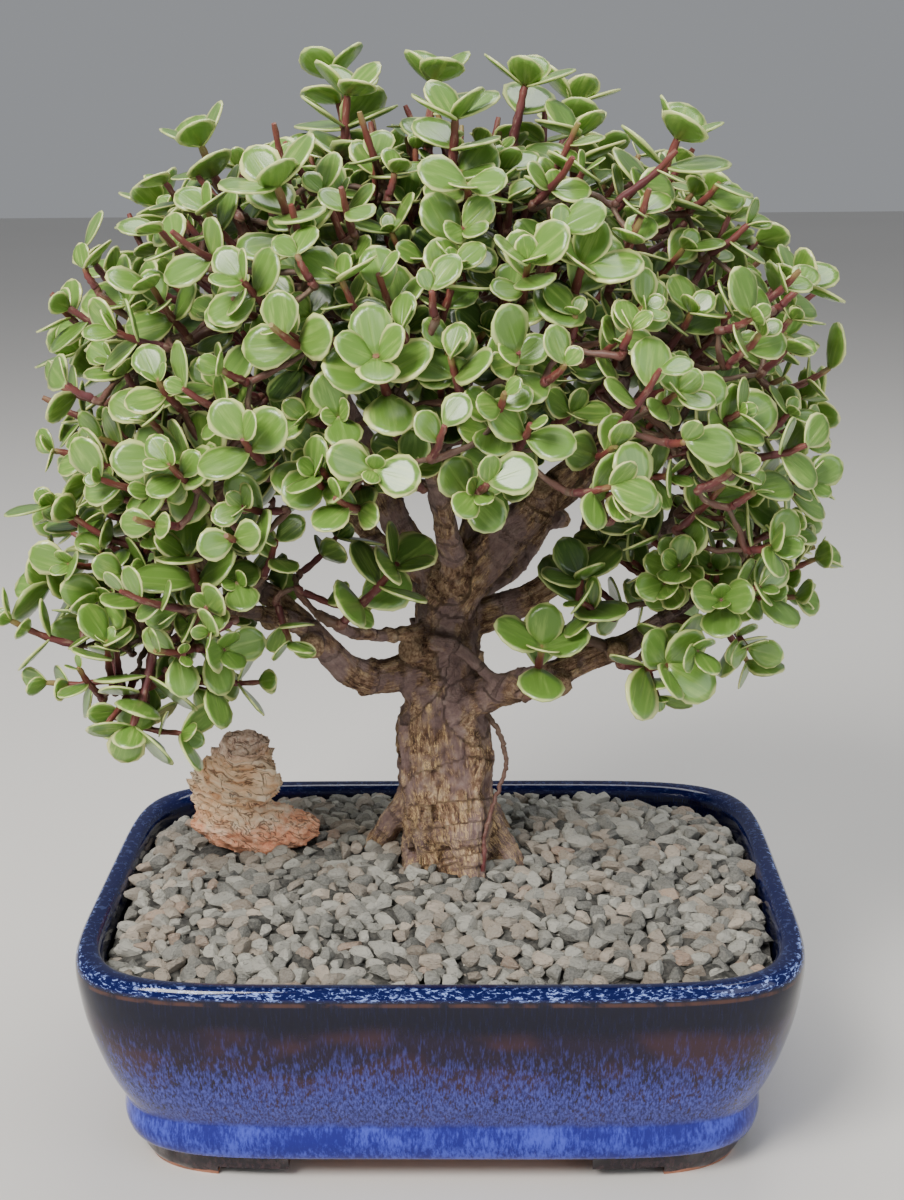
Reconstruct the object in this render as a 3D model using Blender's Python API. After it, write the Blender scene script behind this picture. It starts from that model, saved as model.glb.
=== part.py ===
"""Dwarf jade bonsai in a glazed rectangular pot.

The tree is grown by a rule: hand-set limbs, then twigs from the limbs to seats spread over the dome
of the crown, then one leafy spray on each seat. Lengths are millimetres, with the pot's centre at
x = y = 0 and the ground at z = 0, until each object is made in metres. At the end the whole part is
moved so that the middle of its box stands on the origin.
"""

import math
import random

import bmesh
import bpy
from mathutils import Matrix, Vector, geometry

MM = 0.001
GAP = 0.35

# The pot: an oblong with bowed sides, 8 by 6 inches at the rim
POT_HALF_X = 101.5
POT_HALF_Y = 76.0
RIM_Z = 65.0
UNDERSIDE_Z = 7.0
FLOOR_Z = 13.0
CORNER_POWER = 6.0
POT_SEGMENTS = 28
DRAIN_RADIUS = 7.0
DRAIN_X = 45.0
SCREEN_SIDE = 24.0
SCREEN_THICKNESS = 1.0
SCREEN_BAR = 1.6
SCREEN_BARS = 3

# Height and inset of each section of the pot: up the outside from the underside, then down the inside
OUTER_SECTIONS = (
    (7.0, 14.0), (8.6, 11.3), (13.0, 10.0), (17.5, 10.4), (19.5, 10.2), (27.0, 7.0), (36.0, 4.1),
    (46.0, 1.7), (55.0, 0.4), (60.5, 0.0), (63.6, 0.5), (65.0, 2.2),
)
INNER_SECTIONS = ((64.7, 5.2), (63.0, 6.7), (57.0, 7.6), (32.0, 11.5), (13.0, 19.0))
FOOT_REACH_X = 42.0
FOOT_REACH_Y = 26.0
FOOT_STEP = 20.0
FOOT_STEP_Z = 3.4
FOOT_WIDTH = 13.0
FOOT_INSET = 15.2
FOOT_TAPER = 2.0
CUT_PAST = 2.0

# Growing medium, and the grey gravel that covers it
SOIL_TOP_Z = 54.0
GRAVEL_EDGE_Z = 58.5
GRAVEL_MOUND = 8.5
STONE_PITCH = 12.6
STONE_RELIEF = 2.3

# The tree
TREE_SEED = 8
CROWN_CENTRE = Vector((1.0, 8.0, RIM_Z + 140.0))
CROWN_HALF = Vector((113.0, 88.0, 97.0))
CROWN_DEPTH = 52.0
SEAT_SHARE = 0.76
OUTER_SEATS = 29
INNER_SEATS = 3
INNER_SHARE = 0.42
LEAF_LENGTH = 15.5
LEAF_THICKNESS = 1.5
STEM_RADIUS = 1.15
CLEARANCE = 1.8
TRUNK_SEGMENTS = 12

# The ornament stone: centre, half sizes, turn and seed of each of its lumps
ROCK_LUMPS = (
    ((-58, 20, RIM_Z + 6.5), (19, 13, 7.5), 8, 3),
    ((-65, 22, RIM_Z + 19), (15.5, 10, 10.5), -24, 5),
    ((-62, 23, RIM_Z + 28), (9.5, 8, 8.5), 10, 9),
)

TRUNK = (
    # x, y, height above the rim, radius
    (2, 10, -18, 17.0), (2, 10, -6, 17.5), (2, 10, 4, 16.0), (1, 10, 14, 14.2), (1, 10, 26, 13.4),
    (2, 10, 38, 13.2), (1, 10, 50, 13.0), (1, 10, 60, 11.8), (2, 10, 70, 10.2), (2, 10, 80, 10.4),
    (3, 10, 90, 9.0), (4, 10, 98, 6.0),
)
ROOTS = (
    ((5, 2, 24, 7.5), (7, -3, 12, 6.8), (9, -8, 1, 4.6), (11, -13, -9, 3.0)),
    ((-7, 13, 20, 4.5), (-14, 15, 11, 4.2), (-21, 17, 1, 3.2), (-27, 18, -8, 2.2)),
    ((8, 20, 14, 6.0), (15, 28, 4, 4.5), (22, 36, -8, 3.0)),
    ((-4, 22, 14, 6.0), (-12, 31, 4, 4.6), (-20, 40, -9, 3.0)),
    ((12, 8, 10, 6.5), (20, 6, 0, 4.8), (29, 2, -10, 3.0)),
)

# Limbs as x, y, height above the rim; then the radius at the start and at the end
LIMBS = {
    "right_leader": (
        ((3, 8, 83), (17, 4, 100), (30, 0, 114), (43, -3, 125), (56, -8, 141), (66, -12, 160)), 7.8, 2.6),
    "centre_leader": (((7, 12, 90), (11, 12, 108), (10, 12, 129), (5, 8, 158), (0, 8, 184)), 5.0, 2.0),
    "left_leader": (((0, 12, 86), (-13, 10, 106), (-21, 8, 127), (-32, 4, 150), (-43, 2, 168)), 5.6, 2.2),
    "left_low": (
        ((-6, 7, 62), (-18, 0, 61), (-27, -6, 66), (-36, -12, 79), (-50, -15, 92), (-64, -18, 100),
         (-78, -16, 108)), 5.6, 2.0),
    "left_low_front": (((-36, -12, 79), (-46, -24, 87), (-57, -32, 91)), 3.6, 1.6),
    "left_hanging": (((-58, -17, 97), (-68, -26, 92), (-75, -30, 82)), 2.6, 1.5),
    "right_low": (
        ((10, 5, 53), (22, -6, 60), (34, -12, 67), (48, -16, 74), (62, -17, 83), (75, -15, 93),
         (88, -10, 104)), 5.2, 2.0),
    "right_mid": (
        ((9, 12, 75), (25, 14, 80), (37, 15, 88), (51, 13, 95), (66, 12, 102), (80, 9, 114)), 5.2, 2.0),
    "right_upright": (((43, 14, 91), (44, 11, 106), (46, 8, 126), (52, 5, 148)), 3.8, 2.0),
    "back_right": (((4, 17, 80), (20, 32, 86), (32, 46, 98), (44, 58, 118), (52, 64, 138)), 5.4, 2.0),
    "back_left": (((0, 18, 79), (-16, 36, 88), (-32, 50, 104), (-44, 58, 126)), 5.0, 2.0),
    "back_low": (((3, 20, 66), (4, 38, 76), (2, 55, 92), (0, 66, 112)), 4.6, 2.0),
    "front_leader": (((4, 6, 88), (3, -10, 106), (0, -26, 124), (-4, -38, 144)), 4.4, 2.0),
    "left_thin": (((-4, 4, 74), (-15, -6, 76), (-24, -16, 80), (-33, -26, 88)), 2.4, 1.5),
    "right_thin": (((-3, -1, 72), (6, -2, 70), (17, -6, 61), (24, -16, 60)), 2.4, 1.4),
}

# Sprays that the front view shows on its own: seat, direction, and how many leaf pairs it bears
FRONT_SEATS = (
    ((-25, -33, 88), (0.72, -0.42, 0.70), 3),
    ((-60, -40, 94), (-0.30, -0.45, 0.80), 2),
    ((-77, -33, 80), (-0.25, -0.30, -0.75), 3),
    ((26, -20, 65), (0.15, -0.60, 0.70), 2),
    ((52, -26, 73), (0.55, -0.55, 0.10), 2),
    ((38, -22, 82), (0.05, -0.30, 0.90), 2),
    ((-94, -14, 90), (-0.95, -0.10, 0.15), 2),
    ((-27, 4, 199), (0.08, -0.05, 1.0), 3),
    ((-2, 0, 202), (0.12, -0.10, 1.0), 3),
    ((36, 2, 190), (0.10, -0.05, 1.0), 3),
)


def vec(point):
    """A point given as x, y and height above the rim, from the ground up."""
    return Vector((point[0], point[1], point[2] + RIM_Z))


def smooth(points, steps):
    """A Catmull-Rom curve through rows of numbers, with that many steps between two rows."""
    rows = [Vector(p) for p in points]
    rows = [rows[0] * 2 - rows[1]] + rows + [rows[-1] * 2 - rows[-2]]
    made = []
    for a, b, c, d in zip(rows, rows[1:], rows[2:], rows[3:]):
        for i in range(steps):
            t = i / steps
            square = (a * 2 - b * 5 + c * 4 - d) * t * t
            cube = (b * 3 - a - c * 3 + d) * t ** 3
            made.append((b * 2 + (c - a) * t + square + cube) / 2)
    return made + [rows[-2]]


def frame_of(direction, spin):
    """Two unit vectors across a direction, turned by spin about it."""
    helper = Vector((0, 0, 1)) if abs(direction.z) < 0.92 else Vector((0, 1, 0))
    side = direction.cross(helper).normalized()
    over = side.cross(direction).normalized()
    return side * math.cos(spin) + over * math.sin(spin), over * math.cos(spin) - side * math.sin(spin)


class Crowd:
    """The balls of space that the tree already fills, each owned by one node."""

    CELL = 6.0

    def __init__(self):
        self.cells = {}

    def key(self, p):
        return tuple(int(math.floor(c / self.CELL)) for c in p)

    def add(self, owner, balls):
        for point, radius in balls:
            self.cells.setdefault(self.key(point), []).append((point, radius, owner))

    def is_free(self, owner, balls, clearance):
        for point, radius in balls:
            x, y, z = self.key(point)
            for dx in (-1, 0, 1):
                for dy in (-1, 0, 1):
                    for dz in (-1, 0, 1):
                        for other, reach, held_by in self.cells.get((x + dx, y + dy, z + dz), ()):
                            if held_by != owner and (other - point).length < radius + reach + clearance:
                                return False
        return True


def balls_along(path, radii, spacing=1.5):
    """Balls strung along a path, close enough to stand for a tube."""
    balls = []
    for (a, ra), (b, rb) in zip(zip(path, radii), zip(path[1:], radii[1:])):
        count = max(1, math.ceil((b - a).length / spacing))
        balls += [(a.lerp(b, i / count), ra + (rb - ra) * i / count) for i in range(count)]
    return balls + [(path[-1], radii[-1])]


class Leaf:
    """One blade: it starts at base, runs along axis, and its upper face looks along normal."""

    ROWS = ((0.10, (0.0,)), (0.32, (-0.62, 0.0, 0.62)), (0.54, (-0.78, -0.27, 0.27, 0.78)),
            (0.76, (-0.74, -0.25, 0.25, 0.74)), (0.95, (-0.5, 0.0, 0.5)))

    def __init__(self, base, axis, normal, length, width):
        self.base, self.axis, self.length, self.width = base, axis.normalized(), length, width
        self.side = normal.cross(self.axis).normalized()
        self.normal = self.axis.cross(self.side).normalized()

    def at(self, along, across, up):
        return (
            self.base + self.axis * (along * self.length)
            + self.side * (across * self.width / 2) + self.normal * up
        )

    def balls(self):
        """Points spread over the blade, with its half thickness."""
        return [
            (self.at(along, across * half_width(along), 0.0), LEAF_THICKNESS / 2)
            for along, row in self.ROWS for across in row
        ]


def half_width(along):
    """A round, egg-shaped outline, widest beyond the middle, as a share of half the width."""
    return math.sin(math.pi * min(max(along, 0.0), 1.0) ** 1.25) ** 0.62


class Spray:
    """A leafy stem: its path and radii, and the leaves on it."""

    def __init__(self, name, path, radii):
        self.name, self.path, self.radii, self.leaves = name, path, radii, []


def shoot_path(start, direction, length, rise, rng):
    """A fresh stem that bends a little towards the light."""
    middle = start + direction * (length * 0.5)
    middle += Vector((rng.uniform(-1, 1), rng.uniform(-1, 1), rise * 0.5)) * (length * 0.05)
    aim = (direction + Vector((0, 0, rise * 0.3))).normalized()
    return [start, middle, middle + aim * (length * 0.5)]


def point_on(path, share):
    """The point and direction at a share of a path's length, its two halves being alike."""
    a, b, c = path
    if share < 0.5:
        return a.lerp(b, share * 2), (b - a).normalized()
    return b.lerp(c, share * 2 - 1), (c - b).normalized()


def leaf_pair(point, direction, spin, spread, size, rng):
    """Two leaves opposite each other, raised from the stem by the spread angle."""
    side, _ = frame_of(direction, spin)
    for sign in (1, -1):
        lean = math.radians(spread + rng.uniform(-9, 9))
        axis = direction * math.cos(lean) + side * (sign * math.sin(lean))
        normal = direction * math.sin(lean) - side * (sign * math.cos(lean))
        twist = Matrix.Rotation(math.radians(rng.uniform(-14, 14)), 3, axis)
        length = size * rng.uniform(0.88, 1.12)
        yield Leaf(point, axis, twist @ normal, length, length * rng.uniform(0.80, 0.90))


def blades_cross(leaf, other):
    """Whether two blades of one spray meet beyond their roots."""
    near = [point for point, _ in other.balls()[4:]]
    return any((point - q).length < LEAF_THICKNESS for point, _ in leaf.balls()[4:] for q in near)


def add_leaves(spray, wanted, crowd):
    """Adds the leaves that have room, and returns how many did."""
    before = len(spray.leaves)
    for leaf in wanted:
        crossing = any(blades_cross(leaf, other) for other in spray.leaves)
        if not crossing and crowd.is_free(spray.name, leaf.balls(), CLEARANCE):
            spray.leaves.append(leaf)
    return len(spray.leaves) - before


def grow_spray(name, seat, direction, pairs, crowd, rng):
    """A shoot with leaf pairs, each pair a quarter turn from the last."""
    for attempt in range(8):
        wander = 0.10 + 0.10 * attempt
        aim = (direction + Vector([rng.uniform(-wander, wander) for _ in range(3)])).normalized()
        path = shoot_path(seat + direction * GAP, aim, 8.0 * pairs + rng.uniform(-2, 2), 0.8, rng)
        spray = Spray(name, path, [STEM_RADIUS * share for share in (1.15, 1.0, 0.8)])
        spin = rng.uniform(0, math.pi)
        wanted = []
        for i in range(pairs):
            point, heading = point_on(path, (i + 1) / pairs * 0.97)
            grown = 0.82 + 0.25 * (1 - i / pairs)
            lean = 72 - 8 * i / pairs
            wanted += leaf_pair(point, heading, spin + i * math.pi / 2, lean, LEAF_LENGTH * grown, rng)
        tip, heading = point_on(path, 0.95)
        wanted += leaf_pair(tip, heading, spin + pairs * math.pi / 2, 48, LEAF_LENGTH * 0.78, rng)
        if not crowd.is_free(name, balls_along(spray.path, spray.radii)[3:], CLEARANCE):
            continue
        add_leaves(spray, wanted, crowd)
        if len(spray.leaves) >= max(3, pairs + 1):
            crowd.add(name, balls_along(spray.path, spray.radii))
            for leaf in spray.leaves:
                crowd.add(name, leaf.balls())
            return spray
    return None


def grow_limbs():
    """The hand-set limbs, as (path, radii)."""
    tubes = {}
    for name, (points, start, end) in LIMBS.items():
        path = smooth([vec(p) for p in points], 2 if len(points) < 5 else 1)
        last = len(path) - 1
        tubes[name] = (path, [start + (end - start) * (i / last) ** 0.8 for i in range(last + 1)])
    return tubes


def crown_seats():
    """Seats and directions spread evenly over the dome by the golden angle, none under its open middle."""
    seats = []
    turn = math.pi * (3 - math.sqrt(5))
    for count, share, lowest in ((OUTER_SEATS, SEAT_SHARE, -0.62), (INNER_SEATS, INNER_SHARE, 0.1)):
        for i in range(count):
            rise = 1 - (i + 0.5) / count * (1 - lowest)
            out = math.sqrt(1 - rise * rise)
            ray = Vector((out * math.cos(i * turn), out * math.sin(i * turn), rise))
            tall = CROWN_HALF.z if rise > 0 else CROWN_DEPTH
            reach = Vector((ray.x * CROWN_HALF.x, ray.y * CROWN_HALF.y, rise * tall))
            seat = CROWN_CENTRE + reach * share
            low = seat.z < RIM_Z + 128
            if low and seat.y < -10 and abs(seat.x) < 66:
                continue
            heading = Vector((ray.x, ray.y, ray.z * 0.9 + (0.55 if rise > 0 else 0.25))).normalized()
            seats.append((seat, heading, 2 + i % 2))
    return seats


def twig_to(seat, direction, limbs):
    """A woody twig from the nearest limb to a seat, square to the spray that it carries."""
    def cost(item):
        point, _, _ = item
        return (point - seat).length + 0.6 * max(0.0, point.z - seat.z)
    samples = [
        (path[i], (path[min(i + 1, len(path) - 1)] - path[max(i - 1, 0)]).normalized(), radii[i])
        for path, radii in limbs.values() for i in range(2, len(path))
    ]
    start, along, thick = min(samples, key=cost)
    reach = (seat - start).length
    bend_in = start + along * (reach * 0.35)
    bend_out = seat - direction * (reach * 0.38)
    path = []
    steps = 3 if reach > 40 else 2
    for i in range(steps + 1):
        t = i / steps
        near = start * (1 - t) ** 3 + bend_in * (3 * t * (1 - t) ** 2)
        path.append(near + bend_out * (3 * t * t * (1 - t)) + seat * t ** 3)
    path[-1:] = [seat - direction * 2.2, seat]
    first = min(thick * 0.8, 1.5 + reach * 0.022)
    last = len(path) - 1
    return path, [first + (STEM_RADIUS * 1.25 - first) * min(1.0, i / (last - 1)) for i in range(last + 1)]


def grow_tree():
    """Limbs, twigs and sprays. The same seed gives the same tree."""
    rng = random.Random(TREE_SEED)
    crowd = Crowd()
    limbs = grow_limbs()
    trunk = [vec(p[:3]) for p in TRUNK]
    crowd.add("wood", balls_along(trunk, [p[3] for p in TRUNK], 4.0))
    for path, radii in limbs.values():
        crowd.add("wood", balls_along(path, radii))
    seats = [(vec(p), Vector(d).normalized(), pairs) for p, d, pairs in FRONT_SEATS] + crown_seats()
    twigs = [twig_to(seat, direction, limbs) for seat, direction, _ in seats]
    for path, radii in twigs:
        crowd.add("wood", balls_along(path[:-1], radii[:-1]))
    sprays = []
    for seat, direction, pairs in seats:
        name = f"spray_{len(sprays) + 1:02d}"
        spray = grow_spray(name, seat, direction, pairs, crowd, rng)
        if spray:
            sprays.append(spray)
    return limbs, twigs, sprays


def material(name, colour, roughness, metallic=0.0):
    made = bpy.data.materials.new(name)
    made.use_nodes = True
    shader = made.node_tree.nodes["Principled BSDF"]
    shader.inputs["Base Color"].default_value = (*colour, 1.0)
    shader.inputs["Roughness"].default_value = roughness
    shader.inputs["Metallic"].default_value = metallic
    return made


def new_object(name, mesh, collection):
    made = bpy.data.objects.new(name, mesh)
    collection.objects.link(made)
    return made


def mesh_from(bm, name):
    bmesh.ops.recalc_face_normals(bm, faces=bm.faces)
    mesh = bpy.data.meshes.new(name)
    bm.to_mesh(mesh)
    bm.free()
    return mesh


def outline(half_x, half_y, z, segments=POT_SEGMENTS):
    """An oblong with bowed sides and round corners, with its points closest together at the corners."""
    points = []
    for i in range(segments):
        angle = 2 * math.pi * (i + 0.5) / segments
        c, s = math.cos(angle), math.sin(angle)
        x = math.copysign(abs(c) ** (2 / CORNER_POWER), c) * half_x
        y = math.copysign(abs(s) ** (2 / CORNER_POWER), s) * half_y
        points.append(Vector((x, y, z)) * MM)
    return points


def loft(name, rings):
    """A closed solid through rings of equal count, capped at its first and last ring."""
    bm = bmesh.new()
    made = [[bm.verts.new(p) for p in ring] for ring in rings]
    for low, high in zip(made, made[1:]):
        for i in range(len(low)):
            j = (i + 1) % len(low)
            bm.faces.new((low[i], low[j], high[j], high[i]))
    bm.faces.new(made[0])
    bm.faces.new(made[-1])
    bmesh.ops.triangulate(bm, faces=bm.faces)
    return mesh_from(bm, name)


def box(name, low, high, collection):
    bm = bmesh.new()
    size = Vector(high) - Vector(low)
    place = Matrix.Translation((Vector(high) + Vector(low)) / 2 * MM) @ Matrix.Diagonal((*(size * MM), 1))
    bmesh.ops.create_cube(bm, size=1.0, matrix=place)
    return new_object(name, mesh_from(bm, name), collection)


def cylinder(name, centre, radius, low, high, collection, segments=16):
    bm = bmesh.new()
    place = Matrix.Translation(Vector((centre[0], centre[1], (low + high) / 2)) * MM)
    bmesh.ops.create_cone(
        bm, cap_ends=True, segments=segments, radius1=radius * MM, radius2=radius * MM,
        depth=(high - low) * MM, matrix=place,
    )
    return new_object(name, mesh_from(bm, name), collection)


def tube(name, path, radii, collection, bevel_resolution):
    """A poly curve with a round bevel and filled caps, turned into a welded mesh."""
    curve = bpy.data.curves.new(name, "CURVE")
    curve.dimensions = "3D"
    curve.bevel_depth = MM
    curve.bevel_resolution = bevel_resolution
    curve.use_fill_caps = True
    spline = curve.splines.new("POLY")
    spline.points.add(len(path) - 1)
    for point, place, radius in zip(spline.points, path, radii):
        point.co = (*(place * MM), 1.0)
        point.radius = radius
    source = bpy.data.objects.new(name, curve)
    bpy.context.scene.collection.objects.link(source)
    bpy.context.view_layer.update()
    graph = bpy.context.evaluated_depsgraph_get()
    bm = bmesh.new()
    bm.from_mesh(bpy.data.meshes.new_from_object(source.evaluated_get(graph)))
    bpy.data.objects.remove(source)
    bmesh.ops.remove_doubles(bm, verts=bm.verts, dist=0.00001)
    return new_object(name, mesh_from(bm, name), collection)


def islands(bm):
    """The mesh's connected pieces, each a list of faces."""
    left = set(bm.faces)
    found = []
    while left:
        stack = [left.pop()]
        piece = []
        while stack:
            face = stack.pop()
            piece.append(face)
            near = {other for edge in face.edges for other in edge.link_faces} & left
            left -= near
            stack += near
        found.append(piece)
    return found


def keep_largest(mesh, count):
    """Fills the hollows that a union seals, and drops loose scraps: only so many pieces stay."""
    bm = bmesh.new()
    bm.from_mesh(mesh)
    bmesh.ops.triangulate(bm, faces=bm.faces)
    pieces = islands(bm)

    def extent(piece):
        points = [v.co for face in piece for v in face.verts]
        return sum(max(p[i] for p in points) - min(p[i] for p in points) for i in range(3))

    pieces.sort(key=extent)
    spare = [face for piece in pieces[:-count] for face in piece]
    bmesh.ops.delete(bm, geom=spare, context="FACES")
    bm.to_mesh(mesh)
    bm.free()


def combine(obj, others, operation, solver="EXACT", pieces=1):
    """Applies one Boolean of a list of objects on obj, and removes them. Its largest pieces stay."""
    group = bpy.data.collections.new("operands")
    bpy.context.scene.collection.children.link(group)
    for other in others:
        for home in list(other.users_collection):
            home.objects.unlink(other)
        group.objects.link(other)
    modifier = obj.modifiers.new("combine", "BOOLEAN")
    modifier.operation = operation
    modifier.operand_type = "COLLECTION"
    modifier.collection = group
    modifier.solver = solver
    bpy.context.view_layer.update()
    graph = bpy.context.evaluated_depsgraph_get()
    mesh = bpy.data.meshes.new_from_object(obj.evaluated_get(graph))
    mesh.name = obj.name
    keep_largest(mesh, pieces)
    obj.modifiers.clear()
    obj.data = mesh
    for other in others:
        bpy.data.objects.remove(other)
    bpy.data.collections.remove(group)
    return obj


def finish_with(obj, finish):
    """One material on the whole object."""
    obj.data.materials.clear()
    obj.data.materials.append(finish)
    return obj


def oblong(inset, z):
    """The pot's outline at a height, drawn in from its widest."""
    return outline(POT_HALF_X - inset, POT_HALF_Y - inset, z)


def make_pot(parts, glaze):
    pot = new_object("pot", loft("pot", [oblong(i, z) for z, i in OUTER_SECTIONS + INNER_SECTIONS]), parts)
    high = UNDERSIDE_Z + CUT_PAST
    rings = [oblong(FOOT_INSET + FOOT_TAPER, 0), oblong(FOOT_INSET, FOOT_STEP_Z), oblong(FOOT_INSET, high)]
    feet = new_object("foot_ring", loft("foot_ring", rings), parts)
    inner = FOOT_INSET + FOOT_WIDTH
    hollow = loft("foot_hollow", [oblong(inner, -CUT_PAST), oblong(inner, high + CUT_PAST)])
    cuts = [new_object("foot_hollow", hollow, parts)]
    for step, top in ((0.0, high + CUT_PAST), (FOOT_STEP, FOOT_STEP_Z)):
        x, y = FOOT_REACH_X + step, FOOT_REACH_Y + step
        cuts.append(box("foot_cut_x", (-x, -POT_HALF_Y, -CUT_PAST), (x, POT_HALF_Y, top), parts))
        cuts.append(box("foot_cut_y", (-POT_HALF_X, -y, -CUT_PAST), (POT_HALF_X, y, top), parts))
    combine(feet, cuts, "DIFFERENCE", pieces=4)
    combine(pot, [feet], "UNION")
    low, top = UNDERSIDE_Z - CUT_PAST, FLOOR_Z + CUT_PAST
    holes = [cylinder("drain", (x, 0), DRAIN_RADIUS, low, top, parts) for x in (-DRAIN_X, DRAIN_X)]
    return finish_with(combine(pot, holes, "DIFFERENCE"), glaze)


def make_screens(parts, plastic):
    """The plastic mesh that keeps the soil from washing out of each drain hole."""
    low = FLOOR_Z + GAP
    high = low + SCREEN_THICKNESS
    half = SCREEN_SIDE / 2
    pitch = (SCREEN_SIDE - SCREEN_BAR) / SCREEN_BARS
    side = pitch - SCREEN_BAR
    for label, centre in (("left", -DRAIN_X), ("right", DRAIN_X)):
        screen = box(f"drain_screen_{label}", (centre - half, -half, low), (centre + half, half, high), parts)
        gaps = []
        for i in range(SCREEN_BARS):
            for j in range(SCREEN_BARS):
                x = centre - half + SCREEN_BAR + i * pitch
                y = -half + SCREEN_BAR + j * pitch
                gaps.append(box("gap", (x, y, low - CUT_PAST), (x + side, y + side, high + CUT_PAST), parts))
        finish_with(combine(screen, gaps, "DIFFERENCE"), plastic)


def inner_inset(z):
    """The pot's inner wall at a height, as an inset from its widest outline."""
    for (high, inset_high), (low, inset_low) in zip(INNER_SECTIONS, INNER_SECTIONS[1:]):
        if low <= z <= high:
            return inset_low + (inset_high - inset_low) * (z - low) / (high - low)
    return INNER_SECTIONS[0][1]


def make_soil(parts, earth, cutters):
    """Soil up to the gravel, resting on the drain screens and a hair inside the pot's wall."""
    low = FLOOR_Z + GAP + SCREEN_THICKNESS + GAP
    rings = [oblong(inner_inset(z) + 2 * GAP, z) for z in (low, 32.0, SOIL_TOP_Z)]
    soil = new_object("soil", loft("soil", rings), parts)
    return finish_with(combine(soil, cutters, "DIFFERENCE"), earth)


def mound(x, y):
    """The height of the gravel bed, highest round the trunk."""
    far = min(1.0, (abs(x / POT_HALF_X) ** 2.6 + abs(y / POT_HALF_Y) ** 2.6))
    return GRAVEL_EDGE_Z + GRAVEL_MOUND * (1 - far) ** 0.8


def stone_points():
    """A raised point for each stone on a staggered grid, and two lower ones in the gaps beside it."""
    rng = random.Random(31)
    row_pitch = STONE_PITCH * math.sqrt(3) / 2
    half_x, half_y = POT_HALF_X - STONE_PITCH, POT_HALF_Y - STONE_PITCH
    rows = int(2 * POT_HALF_Y / row_pitch)
    columns = int(2 * POT_HALF_X / STONE_PITCH) + 1
    for row in range(rows + 1):
        for column in range(columns + 1):
            x = (column + 0.5 * (row % 2)) * STONE_PITCH - POT_HALF_X
            y = row * row_pitch - POT_HALF_Y
            for dx, dy, relief in ((0, 0, 1.0), (0.5, 0.289, 0.0), (0.0, 0.577, 0.0)):
                px = x + (dx + rng.uniform(-0.16, 0.16)) * STONE_PITCH
                py = y + (dy + rng.uniform(-0.16, 0.16)) * STONE_PITCH
                lift = relief * STONE_RELIEF * rng.uniform(0.6, 1.3)
                if abs(px / half_x) ** CORNER_POWER + abs(py / half_y) ** CORNER_POWER < 1:
                    yield px, py, mound(px, py) - STONE_RELIEF * 0.5 + lift


def make_gravel(parts, grit, cutters):
    """A bed whose top is a close pack of low stones."""
    edge = oblong(inner_inset(GRAVEL_EDGE_Z) + 2.5 * GAP, 0)
    places = [(p.x / MM, p.y / MM, GRAVEL_EDGE_Z - 1.0) for p in edge] + list(stone_points())
    ring = range(len(edge))
    loop = [(i, (i + 1) % len(edge)) for i in ring]
    flat = [Vector(place[:2]) for place in places]
    found, _, faces, origin, _, _ = geometry.delaunay_2d_cdt(flat, loop, [], 1, 0.01)
    low = (SOIL_TOP_Z + GAP) * MM
    bm = bmesh.new()
    tops = [bm.verts.new((p.x * MM, p.y * MM, places[origin[i][0]][2] * MM)) for i, p in enumerate(found)]
    feet = [bm.verts.new((tops[i].co.x, tops[i].co.y, low)) for i in ring]
    for face in faces:
        bm.faces.new([tops[i] for i in face])
    for i, j in loop:
        bm.faces.new((tops[j], tops[i], feet[i], feet[j]))
    bm.faces.new(feet)
    bmesh.ops.triangulate(bm, faces=bm.faces)
    gravel = new_object("gravel", mesh_from(bm, "gravel"), parts)
    return finish_with(combine(gravel, cutters, "DIFFERENCE"), grit)


def trunk_solid(name, extra, parts):
    """The trunk with its surface roots; extra thickens it, for the hole that it stands in."""
    rings = []
    for x, y, z, radius in TRUNK:
        ring = []
        for i in range(TRUNK_SEGMENTS):
            angle = 2 * math.pi * i / TRUNK_SEGMENTS
            fluting = 1 + 0.07 * math.cos(3 * angle + 0.9) + 0.03 * math.cos(5 * angle + z * 0.06)
            reach = radius * fluting + extra
            across = Vector((math.cos(angle), math.sin(angle), 0)) * reach
            ring.append((vec((x, y, z - extra)) + across) * MM)
        rings.append(ring)
    body = new_object(name, loft(name, rings), parts)
    roots = []
    for points in ROOTS:
        path = [vec(p[:3]) for p in points]
        radii = [p[3] + extra for p in points]
        if extra:
            path[-1] = path[-1] + (path[-1] - path[-2]).normalized() * extra
        roots.append(tube("root", path, radii, parts, 1))
    return combine(body, roots, "UNION")


def make_wood(parts, bark, limbs, twigs):
    wood = trunk_solid("trunk_and_branches", 0.0, parts)
    tubes = [tube("limb", path, radii, parts, 1) for path, radii in limbs.values()]
    tubes += [tube("twig", path, radii, parts, 0) for path, radii in twigs]
    return finish_with(combine(wood, tubes, "UNION", "MANIFOLD"), bark)


def leaf_mesh(leaf, name, parts):
    """A thick blade: seven points round its rim, the first in the stem, and a point above and below."""
    half = ((0.26, 0.66), (0.64, 1.0), (0.96, 0.45))
    rim = [(0.0, 0.0)] + [(x, -y) for x, y in half] + [(x, y) for x, y in reversed(half)]
    bm = bmesh.new()
    cup = 0.09 * leaf.width
    ring = [bm.verts.new(leaf.at(x, y, cup * y * y) * MM) for x, y in rim]
    top = bm.verts.new(leaf.at(0.46, 0.0, LEAF_THICKNESS * 0.35) * MM)
    below = bm.verts.new(leaf.at(0.46, 0.0, -LEAF_THICKNESS * 0.65) * MM)
    for i, a in enumerate(ring):
        b = ring[(i + 1) % len(ring)]
        bm.faces.new((a, b, top))
        bm.faces.new((b, a, below))
    return new_object(name, mesh_from(bm, name), parts)


def make_spray(parts, green, spray):
    body = tube(spray.name, spray.path, spray.radii, parts, 0)
    blades = [leaf_mesh(leaf, "leaf", parts) for leaf in spray.leaves]
    return finish_with(combine(body, blades, "UNION", "MANIFOLD"), green)


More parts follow.
